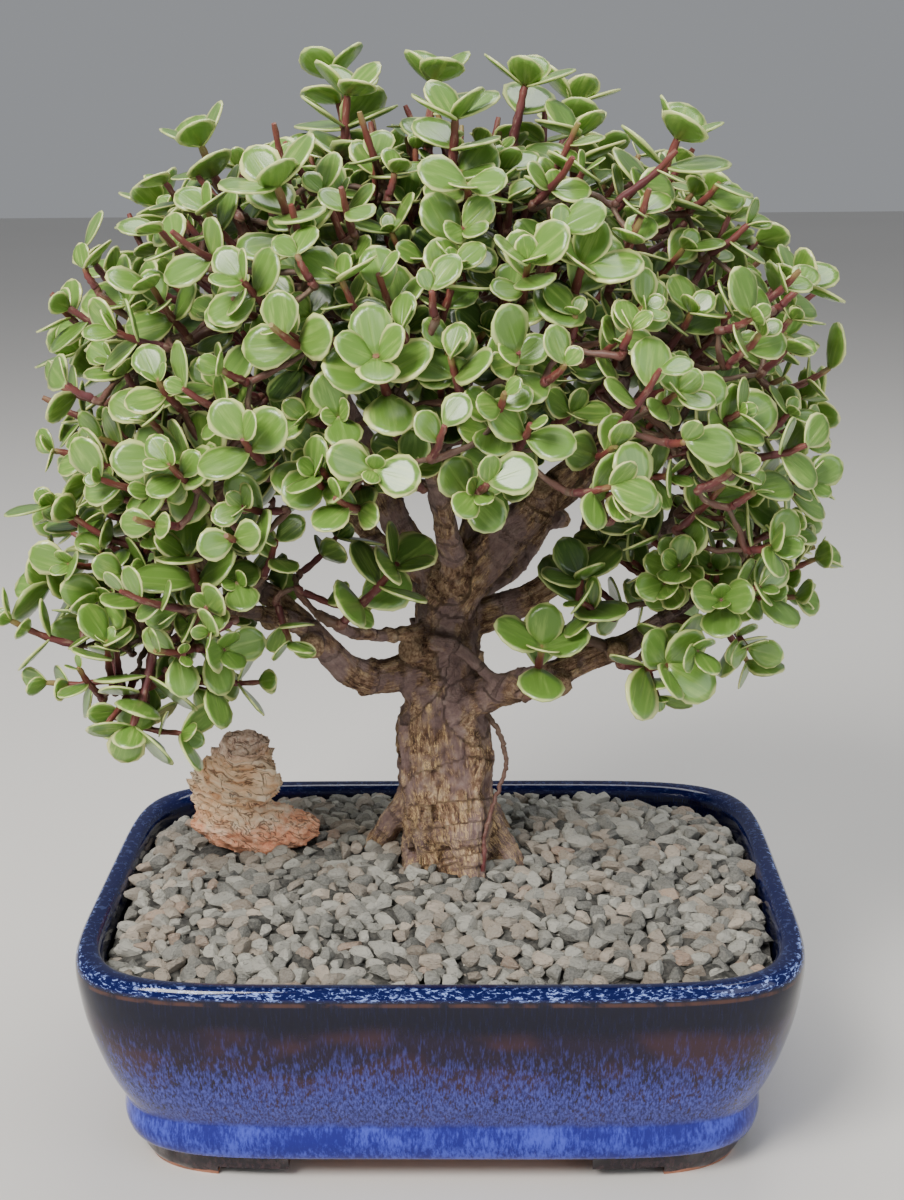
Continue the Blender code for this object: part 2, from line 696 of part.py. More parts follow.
def rock_lump(name, centre, size, turn, seed, extra, parts):
    """A craggy lump: a coarse ball, cut by layers and pushed in and out."""
    rng = random.Random(seed)
    bm = bmesh.new()
    bmesh.ops.create_icosphere(bm, subdivisions=2, radius=1.0)
    spin = Matrix.Rotation(math.radians(turn), 3, "Y") @ Matrix.Rotation(math.radians(turn * 0.5), 3, "Z")
    for vertex in bm.verts:
        lump = 1 + rng.uniform(-0.13, 0.13)
        direction = vertex.co.normalized()
        place = Vector([d * s * lump for d, s in zip(direction, size)]) + direction * extra
        vertex.co = (spin @ place + Vector(centre)) * MM
    return new_object(name, mesh_from(bm, name), parts)


def rock_solid(name, extra, parts):
    """The ornament stone; extra swells it, for the hollow that it lies in."""
    lumps = [rock_lump("lump", *lump, extra, parts) for lump in ROCK_LUMPS]
    lumps[0].name = name
    return combine(lumps[0], lumps[1:], "UNION")


def centre_on_origin(objects):
    """Moves every mesh so that the middle of the whole part's box stands at x = y = 0."""
    points = [vertex.co for obj in objects for vertex in obj.data.vertices]
    middle = [(max(p[i] for p in points) + min(p[i] for p in points)) / 2 for i in (0, 1)]
    for obj in objects:
        obj.data.transform(Matrix.Translation((-middle[0], -middle[1], 0)))


def main():
    for obj in list(bpy.data.objects):
        bpy.data.objects.remove(obj)
    parts = bpy.data.collections.new("dwarf_jade_bonsai")
    bpy.context.scene.collection.children.link(parts)
    glaze = material("blue_glaze", (0.02, 0.03, 0.16), 0.12)
    plastic = material("black_plastic", (0.02, 0.02, 0.02), 0.5)
    earth = material("soil", (0.06, 0.04, 0.03), 0.95)
    grit = material("grey_gravel", (0.38, 0.37, 0.33), 0.9)
    bark = material("bark", (0.20, 0.13, 0.09), 0.85)
    green = material("leaf_green", (0.22, 0.42, 0.12), 0.35)
    stone = material("jasper", (0.62, 0.36, 0.22), 0.8)

    limbs, twigs, sprays = grow_tree()
    make_pot(parts, glaze)
    make_screens(parts, plastic)
    make_soil(parts, earth, [trunk_solid("soil_hole", GAP, parts)])
    cutters = [trunk_solid("gravel_hole", GAP, parts), rock_solid("rock_hollow", GAP + 0.1, parts)]
    make_gravel(parts, grit, cutters)
    finish_with(rock_solid("ornament_stone", 0.0, parts), stone)
    make_wood(parts, bark, limbs, twigs)
    for spray in sprays:
        make_spray(parts, green, spray)
    centre_on_origin(list(parts.objects))


main()
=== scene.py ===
"""The looks of a dwarf jade bonsai in its glazed pot.

The tree is grown by the same rule, numbers and seed as the solids, so each fine leaf lies where its
plain one does. Lengths are millimetres, with the pot's centre at x = y = 0 and the ground at z = 0,
until a piece is settled in the frame's metres.
"""

import math
import random

import bmesh
import bpy
import numpy as np
from mathutils import Matrix, Vector, kdtree, noise


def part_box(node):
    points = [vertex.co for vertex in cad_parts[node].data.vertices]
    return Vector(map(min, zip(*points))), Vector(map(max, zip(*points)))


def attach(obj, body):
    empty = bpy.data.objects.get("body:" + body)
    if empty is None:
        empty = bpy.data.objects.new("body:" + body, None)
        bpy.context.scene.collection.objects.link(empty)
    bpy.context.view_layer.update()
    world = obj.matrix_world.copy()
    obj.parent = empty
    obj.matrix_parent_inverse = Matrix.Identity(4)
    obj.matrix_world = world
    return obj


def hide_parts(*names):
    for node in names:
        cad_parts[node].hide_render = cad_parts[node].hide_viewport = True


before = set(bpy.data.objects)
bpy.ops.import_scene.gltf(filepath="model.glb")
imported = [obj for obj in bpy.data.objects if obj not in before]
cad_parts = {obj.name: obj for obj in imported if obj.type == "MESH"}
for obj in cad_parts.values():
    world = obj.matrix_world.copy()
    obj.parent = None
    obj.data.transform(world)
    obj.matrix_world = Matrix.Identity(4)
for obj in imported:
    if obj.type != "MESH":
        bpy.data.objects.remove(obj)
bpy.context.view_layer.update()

MM = 0.001
GAP = 0.35

# The pot's centre in the frame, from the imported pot
POT_LOW, POT_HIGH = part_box("pot")
SHIFT = Vector(((POT_LOW[0] + POT_HIGH[0]) / 2, (POT_LOW[1] + POT_HIGH[1]) / 2, 0.0))
TO_FRAME = Matrix.Translation(SHIFT) @ Matrix.Scale(MM, 4)

# The pot: its sections are height and inset from the widest outline
POT_HALF_X = 101.5
POT_HALF_Y = 76.0
RIM_Z = 65.0
UNDERSIDE_Z = 7.0
FLOOR_Z = 13.0
CORNER_POWER = 6.0
OUTER_SECTIONS = (
    (7.0, 14.0), (8.6, 11.3), (13.0, 10.0), (17.5, 10.4), (19.5, 10.2), (27.0, 7.0), (36.0, 4.1),
    (46.0, 1.7), (55.0, 0.4), (60.5, 0.0), (63.6, 0.5), (65.0, 2.2),
)
LIP_SECTIONS = ((63.6, 0.5), (64.8, 1.5), (65.0, 3.4), (64.4, 5.6), (62.4, 6.9))
INNER_SECTIONS = ((57.0, 7.6), (32.0, 11.5), (13.0, 19.0))
POT_SEGMENTS = 160
DRAIN_RADIUS = 7.0
DRAIN_X = 45.0

# The feet, set a little further out than those of the solids
FOOT_REACH_X = 42.0
FOOT_REACH_Y = 26.0
FOOT_STEP = 20.0
FOOT_STEP_Z = 3.4
FOOT_WIDTH = 13.0
FOOT_INSET = 13.6
FOOT_TAPER = 2.0

# The gravel bed, and the loose stones on it: a stone's half sizes are STONE_SIZE times its shares
GRAVEL_EDGE_Z = 58.5
GRAVEL_MOUND = 8.5
GRAVEL_PITCH = 5.1
STONE_SEED = 17
STONE_SHAPES = 9
STONE_FLATS = 9
STONE_SIZE = (2.3, 3.7)
STONE_SHARES = ((1.0, 1.45), (0.75, 1.05), (0.62, 0.9))
WARM_SHARE = 0.2
WALL_INSET = 7.4

# The ornament stone: centre, half sizes, turn and seed of each of its lumps
ROCK_LUMPS = (
    ((-58, 20, RIM_Z + 6.5), (19, 13, 7.5), 8, 3),
    ((-65, 22, RIM_Z + 19), (15.5, 10, 10.5), -24, 5),
    ((-62, 23, RIM_Z + 28), (9.5, 8, 8.5), 10, 9),
)
ROCK_VOXEL = 0.75
BEDDING = Vector((0.34, -0.1, 0.93)).normalized()
LEDGE_PITCH = 3.6

# The tree, as in the solids
TREE_SEED = 8
CROWN_CENTRE = Vector((1.0, 8.0, RIM_Z + 140.0))
CROWN_HALF = Vector((113.0, 88.0, 97.0))
CROWN_DEPTH = 52.0
SEAT_SHARE = 0.76
OUTER_SEATS = 29
INNER_SEATS = 3
INNER_SHARE = 0.42
LEAF_LENGTH = 15.5
LEAF_THICKNESS = 1.5
LEAF_EGG = 1.25
LEAF_FULLNESS = 0.62
STEM_RADIUS = 1.15
CLEARANCE = 1.8

# How young, and so how pale, the leaves of sprays and of short shoots are
LEAF_SEED = 5
SPRAY_YOUTH = 0.6
SHOOT_YOUTH = 0.4

# The short shoots that fill the crown: how many in a layer, and how far out the layer lies
FILL_LAYERS = ((430, 0.86), (330, 0.70), (170, 0.50))
FILL_HALF = Vector((110.0, 91.0, 77.0))
FILL_DEPTH = 82.0
FILL_POWER = 2.8
FILL_LEAF = 11.6
FILL_CLEARANCE = 0.0

# Low lobes of leaves at the crown's sides: centre, half sizes and how many shoots
LOBES = (
    ((-82, -26, 78), (19, 14, 20), 34),
    ((-90, -28, 62), (8, 8, 9), 8),
    ((-84, 2, 100), (22, 30, 15), 30),
    ((75, -6, 92), (21, 26, 14), 40),
    ((58, -20, 84), (18, 12, 12), 12),
    ((-46, -30, 100), (18, 12, 10), 9),
)

# The trunk and its surface roots: x, y, height above the rim, radius
TRUNK = (
    (2, 10, -18, 17.0), (2, 10, -6, 17.5), (2, 10, 4, 16.0), (1, 10, 14, 14.2), (1, 10, 26, 13.4),
    (2, 10, 38, 13.2), (1, 10, 50, 13.0), (1, 10, 60, 11.8), (2, 10, 70, 10.2), (2, 10, 80, 10.4),
    (3, 10, 90, 9.0), (4, 10, 98, 6.0),
)
ROOTS = (
    ((5, 2, 24, 7.5), (7, -3, 12, 6.8), (9, -8, 1, 4.6), (11, -13, -9, 3.0)),
    ((-7, 13, 20, 4.5), (-14, 15, 11, 4.2), (-21, 17, 1, 3.2), (-27, 18, -8, 2.2)),
    ((8, 20, 14, 6.0), (15, 28, 4, 4.5), (22, 36, -8, 3.0)),
    ((-4, 22, 14, 6.0), (-12, 31, 4, 4.6), (-20, 40, -9, 3.0)),
    ((12, 8, 10, 6.5), (20, 6, 0, 4.8), (29, 2, -10, 3.0)),
)

# Strands that swell the trunk's sides where each root runs up into it: x, y, height, radius
STRANDS = (
    ((6, -1, 10, 6.6), (6, 1, 24, 6.0), (7, 2, 40, 5.2), (4, 1, 56, 5.0)),
    ((-5, 4, 6, 6.6), (-5, 2, 22, 6.0), (-6, 3, 40, 5.6), (-6, 5, 58, 5.4)),
    ((10, 8, 6, 6.5), (10, 6, 24, 5.4), (9, 8, 44, 5.2), (9, 8, 60, 4.6)),
    ((-8, 14, 14, 5.6), (-8, 13, 34, 5.2), (-6, 14, 54, 5.2), (-4, 14, 74, 5.0)),
    ((5, 19, 8, 6.4), (4, 20, 30, 5.2), (4, 18, 56, 5.6), (4, 16, 78, 5.0)),
)

# A thin root that hangs clear of the trunk
THIN_ROOT = ((13, 6, 48), (18, 3, 40), (19, 1, 33), (16, -2, 24), (13, -6, 15), (12, -9, 4))

THIN_ROOT_RADII = (0.9, 0.8, 0.7, 0.6, 0.7, 0.8)

# Hollows pressed into the trunk: centre, radius and depth
HOLLOWS = (
    ((2.0, -4.0, 5.0), 5.5, 4.0), ((-1.0, -5.0, 14.0), 3.5, 1.6), ((6.0, -4.0, 30.0), 2.6, 1.8),
    ((7.0, -4.5, 36.0), 2.4, 1.8), ((7.5, -4.0, 42.0), 2.4, 1.7), ((6.5, -3.5, 48.0), 2.4, 1.5),
    ((5.5, -3.5, 54.0), 2.2, 1.2), ((-9.0, 1.0, 50.0), 4.0, 1.6),
)

# The skin over the wood, and the collar where a limb leaves the trunk
WOOD_VOXEL = 0.8
TRUNK_SLIM = 0.93
COLLAR_REACH = 1.6
COLLAR_SHARES = (0.9, 1.22, 0.9)

# Leaf joints on twigs and on fresh stems: how the tube is drawn, then how often and how much it swells
TWIG_JOINTS = {"steps": 5, "wobble": 0.5, "seed": 40, "every": 3, "swell": 1.16, "slim": 0.96}
STEM_JOINTS = {"steps": 4, "wobble": 0.3, "seed": 90, "every": 2, "swell": 1.14, "slim": 0.94}

# Limbs as x, y, height above the rim; then the radius at the start and at the end
LIMBS = {
    "right_leader": (
        ((3, 8, 83), (17, 4, 100), (30, 0, 114), (43, -3, 125), (56, -8, 141), (66, -12, 160)), 7.8, 2.6),
    "centre_leader": (((7, 12, 90), (11, 12, 108), (10, 12, 129), (5, 8, 158), (0, 8, 184)), 5.0, 2.0),
    "left_leader": (((0, 12, 86), (-13, 10, 106), (-21, 8, 127), (-32, 4, 150), (-43, 2, 168)), 5.6, 2.2),
    "left_low": (
        ((-6, 7, 62), (-18, 0, 61), (-27, -6, 66), (-36, -12, 79), (-50, -15, 92), (-64, -18, 100),
         (-78, -16, 108)), 5.6, 2.0),
    "left_low_front": (((-36, -12, 79), (-46, -24, 87), (-57, -32, 91)), 3.6, 1.6),
    "left_hanging": (((-58, -17, 97), (-68, -26, 92), (-75, -30, 82)), 2.6, 1.5),
    "right_low": (
        ((10, 5, 53), (22, -6, 60), (34, -12, 67), (48, -16, 74), (62, -17, 83), (75, -15, 93),
         (88, -10, 104)), 5.2, 2.0),
    "right_mid": (
        ((9, 12, 75), (25, 14, 80), (37, 15, 88), (51, 13, 95), (66, 12, 102), (80, 9, 114)), 5.2, 2.0),
    "right_upright": (((43, 14, 91), (44, 11, 106), (46, 8, 126), (52, 5, 148)), 3.8, 2.0),
    "back_right": (((4, 17, 80), (20, 32, 86), (32, 46, 98), (44, 58, 118), (52, 64, 138)), 5.4, 2.0),
    "back_left": (((0, 18, 79), (-16, 36, 88), (-32, 50, 104), (-44, 58, 126)), 5.0, 2.0),
    "back_low": (((3, 20, 66), (4, 38, 76), (2, 55, 92), (0, 66, 112)), 4.6, 2.0),
    "front_leader": (((4, 6, 88), (3, -10, 106), (0, -26, 124), (-4, -38, 144)), 4.4, 2.0),
    "left_thin": (((-4, 4, 74), (-15, -6, 76), (-24, -16, 80), (-33, -26, 88)), 2.4, 1.5),
    "right_thin": (((-3, -1, 72), (6, -2, 70), (17, -6, 61), (24, -16, 60)), 2.4, 1.4),
}

# Stubs left by cuts: where each starts, which way it points, its length and radius
STUBS = (
    ((-36, -12, 77), (0.10, -0.85, -0.10), 8.0, 3.2),
    ((-45, -15, 84), (-0.25, -0.80, 0.05), 7.0, 2.5),
    ((33, -12, 66), (0.15, -0.90, -0.25), 7.5, 3.2),
    ((49, -16, 74), (0.10, -0.85, 0.20), 7.0, 2.8),
    ((61, -17, 82), (0.30, -0.60, -0.50), 6.0, 2.4),
    ((-5, 4, 68), (-0.55, -0.75, 0.30), 8.0, 3.6),
    ((30, 0, 114), (-0.10, -0.70, 0.60), 9.0, 3.0),
    ((34, 44, 98), (0.40, 0.80, -0.20), 8.0, 2.8),
    ((-22, 42, 94), (-0.30, 0.85, 0.10), 8.0, 3.0),
)

# Sprays that the front view shows on its own: seat, direction, and how many leaf pairs it bears
FRONT_SEATS = (
    ((-25, -33, 88), (0.72, -0.42, 0.70), 3),
    ((-60, -40, 94), (-0.30, -0.45, 0.80), 2),
    ((-77, -33, 80), (-0.25, -0.30, -0.75), 3),
    ((26, -20, 65), (0.15, -0.60, 0.70), 2),
    ((52, -26, 73), (0.55, -0.55, 0.10), 2),
    ((38, -22, 82), (0.05, -0.30, 0.90), 2),
    ((-94, -14, 90), (-0.95, -0.10, 0.15), 2),
    ((-27, 4, 199), (0.08, -0.05, 1.0), 3),
    ((-2, 0, 202), (0.12, -0.10, 1.0), 3),
    ((36, 2, 190), (0.10, -0.05, 1.0), 3),
)

# The camera, fitted to the pot in the photograph
CAMERA_AT = Vector((12.3, -500.5, RIM_Z + 225.2))
CAMERA_PITCH = math.radians(15.7)
CAMERA_YAW = math.radians(-1.0)
CAMERA_ROLL = math.radians(-0.52)
FOCAL_PIXELS = 1809.0
IMAGE_HEIGHT = 1200.0
SENSOR = 36.0

# Colours: the two kinds of stone as dull, light and stained; wood as old, new and at the tip
STONE_COLOURS = (
    ("grey_gravel_stone", (0.15, 0.15, 0.14), (0.50, 0.485, 0.43), (0.40, 0.32, 0.25)),
    ("warm_gravel_stone", (0.26, 0.21, 0.165), (0.56, 0.47, 0.38), (0.46, 0.30, 0.22)),
)
OLD_TWIG = ((0.125, 0.078, 0.055), (0.13, 0.055, 0.042), (0.14, 0.035, 0.034))
FRESH_STEM = ((0.105, 0.024, 0.028), (0.17, 0.042, 0.034), (0.28, 0.24, 0.07))

# The studio: the floor's size, the sky, and each lamp's place, size, power and colour
FLOOR_SIZE = 8.0
SKY = (0.86, 0.89, 0.94, 1.0)
SKY_STRENGTH = 0.34
LAMPS_AIM = Vector((0.0, 0.0, 0.16))
LAMPS = {
    "key_light": ((-0.50, -0.80, 1.00), 0.50, 24.0, (1.0, 0.97, 0.92)),
    "fill_light": ((0.85, -0.70, 0.55), 0.80, 5.0, (0.90, 0.95, 1.0)),
    "top_light": ((0.10, 0.35, 1.20), 0.70, 9.0, (1.0, 1.0, 1.0)),
}


# Growing the tree


def vec(point):
    """A point given as x, y and height above the rim, from the ground up."""
    return Vector((point[0], point[1], point[2] + RIM_Z))


def smooth(points, steps):
    """A Catmull-Rom curve through rows of numbers, with that many steps between two rows."""
    rows = [Vector(p) for p in points]
    rows = [rows[0] * 2 - rows[1]] + rows + [rows[-1] * 2 - rows[-2]]
    made = []
    for a, b, c, d in zip(rows, rows[1:], rows[2:], rows[3:]):
        for i in range(steps):
            t = i / steps
            square = (a * 2 - b * 5 + c * 4 - d) * t * t
            cube = (b * 3 - a - c * 3 + d) * t ** 3
            made.append((b * 2 + (c - a) * t + square + cube) / 2)
    return made + [rows[-2]]


def frame_of(direction, spin):
    """Two unit vectors across a direction, turned by spin about it."""
    helper = Vector((0, 0, 1)) if abs(direction.z) < 0.92 else Vector((0, 1, 0))
    side = direction.cross(helper).normalized()
    over = side.cross(direction).normalized()
    return side * math.cos(spin) + over * math.sin(spin), over * math.cos(spin) - side * math.sin(spin)


class Crowd:
    """The balls of space that the tree already fills, each owned by one spray or by the wood."""

    CELL = 6.0

    def __init__(self):
        self.cells = {}

    def key(self, p):
        return tuple(int(math.floor(c / self.CELL)) for c in p)

    def add(self, owner, balls):
        for point, radius in balls:
            self.cells.setdefault(self.key(point), []).append((point, radius, owner))

    def is_free(self, owner, balls, clearance):
        for point, radius in balls:
            x, y, z = self.key(point)
            for dx in (-1, 0, 1):
                for dy in (-1, 0, 1):
                    for dz in (-1, 0, 1):
                        for other, reach, held_by in self.cells.get((x + dx, y + dy, z + dz), ()):
                            if held_by != owner and (other - point).length < radius + reach + clearance:
                                return False
        return True


def balls_along(path, radii, spacing=1.5):
    """Balls strung along a path, close enough to stand for a tube."""
    balls = []
    for (a, ra), (b, rb) in zip(zip(path, radii), zip(path[1:], radii[1:])):
        count = max(1, math.ceil((b - a).length / spacing))
        balls += [(a.lerp(b, i / count), ra + (rb - ra) * i / count) for i in range(count)]
    return balls + [(path[-1], radii[-1])]


def half_width(along):
    """A round, egg-shaped outline, widest beyond the middle, as a share of half the width."""
    return math.sin(math.pi * min(max(along, 0.0), 1.0) ** LEAF_EGG) ** LEAF_FULLNESS


class Leaf:
    """One blade: it starts at base, runs along axis, and its upper face looks along normal."""

    ROWS = ((0.10, (0.0,)), (0.32, (-0.62, 0.0, 0.62)), (0.54, (-0.78, -0.27, 0.27, 0.78)),
            (0.76, (-0.74, -0.25, 0.25, 0.74)), (0.95, (-0.5, 0.0, 0.5)))

    def __init__(self, base, axis, normal, length, width):
        self.base, self.axis, self.length, self.width = base, axis.normalized(), length, width
        self.side = normal.cross(self.axis).normalized()
        self.normal = self.axis.cross(self.side).normalized()

    def at(self, along, across, up):
        return (
            self.base + self.axis * (along * self.length)
            + self.side * (across * self.width / 2) + self.normal * up
        )

    def balls(self):
        """Points spread over the blade, with its half thickness."""
        return [
            (self.at(along, across * half_width(along), 0.0), LEAF_THICKNESS / 2)
            for along, row in self.ROWS for across in row
        ]


class Spray:
    """A leafy stem: its path and radii, and the leaves on it."""

    def __init__(self, name, path, radii):
        self.name, self.path, self.radii, self.leaves = name, path, radii, []


def shoot_path(start, direction, length, rise, rng):
    """A fresh stem that bends a little towards the light."""
    middle = start + direction * (length * 0.5)
    middle += Vector((rng.uniform(-1, 1), rng.uniform(-1, 1), rise * 0.5)) * (length * 0.05)
    aim = (direction + Vector((0, 0, rise * 0.3))).normalized()
    return [start, middle, middle + aim * (length * 0.5)]


def point_on(path, share):
    """The point and direction at a share of a path's length, its two halves being alike."""
    a, b, c = path
    if share < 0.5:
        return a.lerp(b, share * 2), (b - a).normalized()
    return b.lerp(c, share * 2 - 1), (c - b).normalized()


def leaf_pair(point, direction, spin, spread, size, rng):
    """Two leaves opposite each other, raised from the stem by the spread angle."""
    side, _ = frame_of(direction, spin)
    for sign in (1, -1):
        lean = math.radians(spread + rng.uniform(-9, 9))
        axis = direction * math.cos(lean) + side * (sign * math.sin(lean))
        normal = direction * math.sin(lean) - side * (sign * math.cos(lean))
        twist = Matrix.Rotation(math.radians(rng.uniform(-14, 14)), 3, axis)
        length = size * rng.uniform(0.88, 1.12)
        yield Leaf(point, axis, twist @ normal, length, length * rng.uniform(0.80, 0.90))


def blades_cross(leaf, other):
    """Whether two blades of one spray meet beyond their roots."""
    near = [point for point, _ in other.balls()[4:]]
    return any((point - q).length < LEAF_THICKNESS for point, _ in leaf.balls()[4:] for q in near)


def add_leaves(spray, wanted, crowd, clearance=CLEARANCE):
    """Adds the leaves that have room, and returns how many did."""
    before = len(spray.leaves)
    for leaf in wanted:
        crossing = any(blades_cross(leaf, other) for other in spray.leaves)
        if not crossing and crowd.is_free(spray.name, leaf.balls(), clearance):
            spray.leaves.append(leaf)
    return len(spray.leaves) - before


def grow_spray(name, seat, direction, pairs, crowd, rng):
    """A shoot with leaf pairs, each pair a quarter turn from the last."""
    for attempt in range(8):
        wander = 0.10 + 0.10 * attempt
        aim = (direction + Vector([rng.uniform(-wander, wander) for _ in range(3)])).normalized()
        path = shoot_path(seat + direction * GAP, aim, 8.0 * pairs + rng.uniform(-2, 2), 0.8, rng)
        spray = Spray(name, path, [STEM_RADIUS * share for share in (1.15, 1.0, 0.8)])
        spin = rng.uniform(0, math.pi)
        wanted = []
        for i in range(pairs):
            point, heading = point_on(path, (i + 1) / pairs * 0.97)
            grown = 0.82 + 0.25 * (1 - i / pairs)
            lean = 72 - 8 * i / pairs
            wanted += leaf_pair(point, heading, spin + i * math.pi / 2, lean, LEAF_LENGTH * grown, rng)
        tip, heading = point_on(path, 0.95)
        wanted += leaf_pair(tip, heading, spin + pairs * math.pi / 2, 48, LEAF_LENGTH * 0.78, rng)
        if not crowd.is_free(name, balls_along(spray.path, spray.radii)[3:], CLEARANCE):
            continue
        add_leaves(spray, wanted, crowd)
        if len(spray.leaves) >= max(3, pairs + 1):
            crowd.add(name, balls_along(spray.path, spray.radii))
            for leaf in spray.leaves:
                crowd.add(name, leaf.balls())
            return spray
    return None


def grow_limbs():
    """The listed limbs, as (path, radii)."""
    tubes = {}
    for name, (points, start, end) in LIMBS.items():
        path = smooth([vec(p) for p in points], 2 if len(points) < 5 else 1)
        last = len(path) - 1
        tubes[name] = (path, [start + (end - start) * (i / last) ** 0.8 for i in range(last + 1)])
    return tubes


def dome_rays(count, lowest):
    """Rays spread evenly by the golden angle, from the top of the dome down to a rise."""
    turn = math.pi * (3 - math.sqrt(5))
    for i in range(count):
        rise = 1 - (i + 0.5) / count * (1 - lowest)
        out = math.sqrt(1 - rise * rise)
        yield i, Vector((out * math.cos(i * turn), out * math.sin(i * turn), rise))


def dome_point(ray, share):
    tall = CROWN_HALF.z if ray.z > 0 else CROWN_DEPTH
    return CROWN_CENTRE + Vector((ray.x * CROWN_HALF.x, ray.y * CROWN_HALF.y, ray.z * tall)) * share


def crown_seats():
    """Seats and directions spread evenly over the dome, none under its open middle."""
    seats = []
    for count, share, lowest in ((OUTER_SEATS, SEAT_SHARE, -0.62), (INNER_SEATS, INNER_SHARE, 0.1)):
        for i, ray in dome_rays(count, lowest):
            seat = dome_point(ray, share)
            low = seat.z < RIM_Z + 128
            if low and seat.y < -10 and abs(seat.x) < 66:
                continue
            heading = Vector((ray.x, ray.y, ray.z * 0.9 + (0.55 if ray.z > 0 else 0.25))).normalized()
            seats.append((seat, heading, 2 + i % 2))
    return seats


def wood_samples(tubes):
    """Points on tubes where a twig may start, with the direction and the radius there."""
    return [
        (path[i], (path[min(i + 1, len(path) - 1)] - path[max(i - 1, 0)]).normalized(), radii[i])
        for path, radii in tubes for i in range(2, len(path))
    ]


def twig_to(seat, direction, samples):
    """A woody twig from the nearest wood to a seat, square to the spray that it carries."""
    def cost(item):
        point, _, _ = item
        return (point - seat).length + 0.6 * max(0.0, point.z - seat.z)
    start, along, thick = min(samples, key=cost)
    reach = (seat - start).length
    bend_in = start + along * (reach * 0.35)
    bend_out = seat - direction * (reach * 0.38)
    path = []
    steps = 3 if reach > 40 else 2
    for i in range(steps + 1):
        t = i / steps
        near = start * (1 - t) ** 3 + bend_in * (3 * t * (1 - t) ** 2)
        path.append(near + bend_out * (3 * t * t * (1 - t)) + seat * t ** 3)
    path[-1:] = [seat - direction * 2.2, seat]
    first = min(thick * 0.8, 1.5 + reach * 0.022)
    last = len(path) - 1
    return path, [first + (STEM_RADIUS * 1.25 - first) * min(1.0, i / (last - 1)) for i in range(last + 1)]


def grow_tree():
    """Limbs, twigs and sprays as in the solids, and the space they fill."""
    rng = random.Random(TREE_SEED)
    crowd = Crowd()
    limbs = grow_limbs()
    trunk = [vec(p[:3]) for p in TRUNK]
    crowd.add("wood", balls_along(trunk, [p[3] for p in TRUNK], 4.0))
    for path, radii in limbs.values():
        crowd.add("wood", balls_along(path, radii))
    seats = [(vec(p), Vector(d).normalized(), pairs) for p, d, pairs in FRONT_SEATS] + crown_seats()
    samples = wood_samples(limbs.values())
    twigs = [twig_to(seat, direction, samples) for seat, direction, _ in seats]
    for path, radii in twigs:
        crowd.add("wood", balls_along(path[:-1], radii[:-1]))
    sprays = []
    for seat, direction, pairs in seats:
        name = f"spray_{len(sprays) + 1:02d}"
        spray = grow_spray(name, seat, direction, pairs, crowd, rng)
        if spray:
            sprays.append(spray)
    return limbs, twigs, sprays, crowd


def lowest_leaf(place):
    """The height under which the crown is open: high in its middle, lower at its sides."""
    side = min(1.0, max(0.0, (abs(place.x - 12) - 44) / 26))
    return RIM_Z + 122 - 40 * side * side * (3 - 2 * side)


def dome_share(place):
    """How far out a place lies in the boxy dome that holds the short shoots: 1 is its skin."""
    off = place - CROWN_CENTRE
    tall = FILL_HALF.z if off.z > 0 else FILL_DEPTH
    shares = (off.x / FILL_HALF.x, off.y / FILL_HALF.y, off.z / tall)
    return sum(abs(c) ** FILL_POWER for c in shares) ** (1 / FILL_POWER)


def fill_seats(rng):
    """The short shoots, first in layers of the dome, then in the low lobes: each one's seat and
    direction, whether others may fork from its twig, and how far out its leaves may reach."""
    for count, share in FILL_LAYERS:
        for _, ray in dome_rays(count, -0.86):
            reach = ray / dome_share(CROWN_CENTRE + ray)
            seat = CROWN_CENTRE + reach * (share + rng.uniform(-0.07, 0.06))
            seat += Vector([rng.uniform(-5, 5) for _ in range(3)])
            if seat.z > lowest_leaf(seat):
                yield seat, Vector((ray.x, ray.y, ray.z * 0.8 + 0.45)), share > 0.7, 1.0
    for centre, half, count in LOBES:
        for _ in range(count):
            ray = Vector([rng.gauss(0, 1) for _ in range(3)]).normalized() * rng.random() ** 0.4
            seat = vec(centre) + Vector([a * b for a, b in zip(ray, half)])
            yield seat, ray + Vector((0, -0.15, 0.30)), True, 1.25


def fill_crown(limbs, twigs, crowd):
    """Short shoots between the sprays, each on a thin twig of its own."""
    rng = random.Random(TREE_SEED + 1)
    stock = wood_samples(list(limbs.values()) + twigs)
    shoots, fill_twigs = [], []
    for seat, heading, forks, limit in fill_seats(rng):
        heading = heading.normalized() + Vector([rng.uniform(-0.35, 0.35) for _ in range(3)])
        heading.normalize()
        pairs = rng.choice((1, 2, 2, 3))
        path = shoot_path(seat, heading, 5.5 * pairs + rng.uniform(0, 3), 0.8, rng)
        shoot = Spray(f"fill_{len(shoots)}", path, [STEM_RADIUS * s for s in (0.90, 0.78, 0.62)])
        spin = rng.uniform(0, math.pi)
        wanted = []
        for k in range(pairs):
            point, aim = point_on(path, (k + 1) / pairs * 0.97)
            size = FILL_LEAF * rng.uniform(0.74, 1.14)
            wanted += leaf_pair(point, aim, spin + k * math.pi / 2, 68 - 8 * k, size, rng)
        tip, aim = point_on(path, 0.95)
        size = FILL_LEAF * rng.uniform(0.42, 0.78)
        wanted += leaf_pair(tip, aim, spin + pairs * math.pi / 2, 40, size, rng)
        wanted = [leaf for leaf in wanted if dome_share(leaf.at(1.0, 0.0, 0.0)) < limit]
        add_leaves(shoot, wanted, crowd, FILL_CLEARANCE)
        if len(shoot.leaves) < 2:
            continue
        for leaf in shoot.leaves:
            crowd.add(shoot.name, leaf.balls())
        shoots.append(shoot)
        points, radii = twig_to(seat, heading, stock)
        twig = (points, [r * 0.7 for r in radii])
        fill_twigs.append(twig)
        if forks:
            stock += wood_samples([twig])
    return shoots, fill_twigs


# Modelling


def alone():
    """Nothing selected, so that an operator acts on new pieces only."""
    bpy.ops.object.select_all(action="DESELECT")


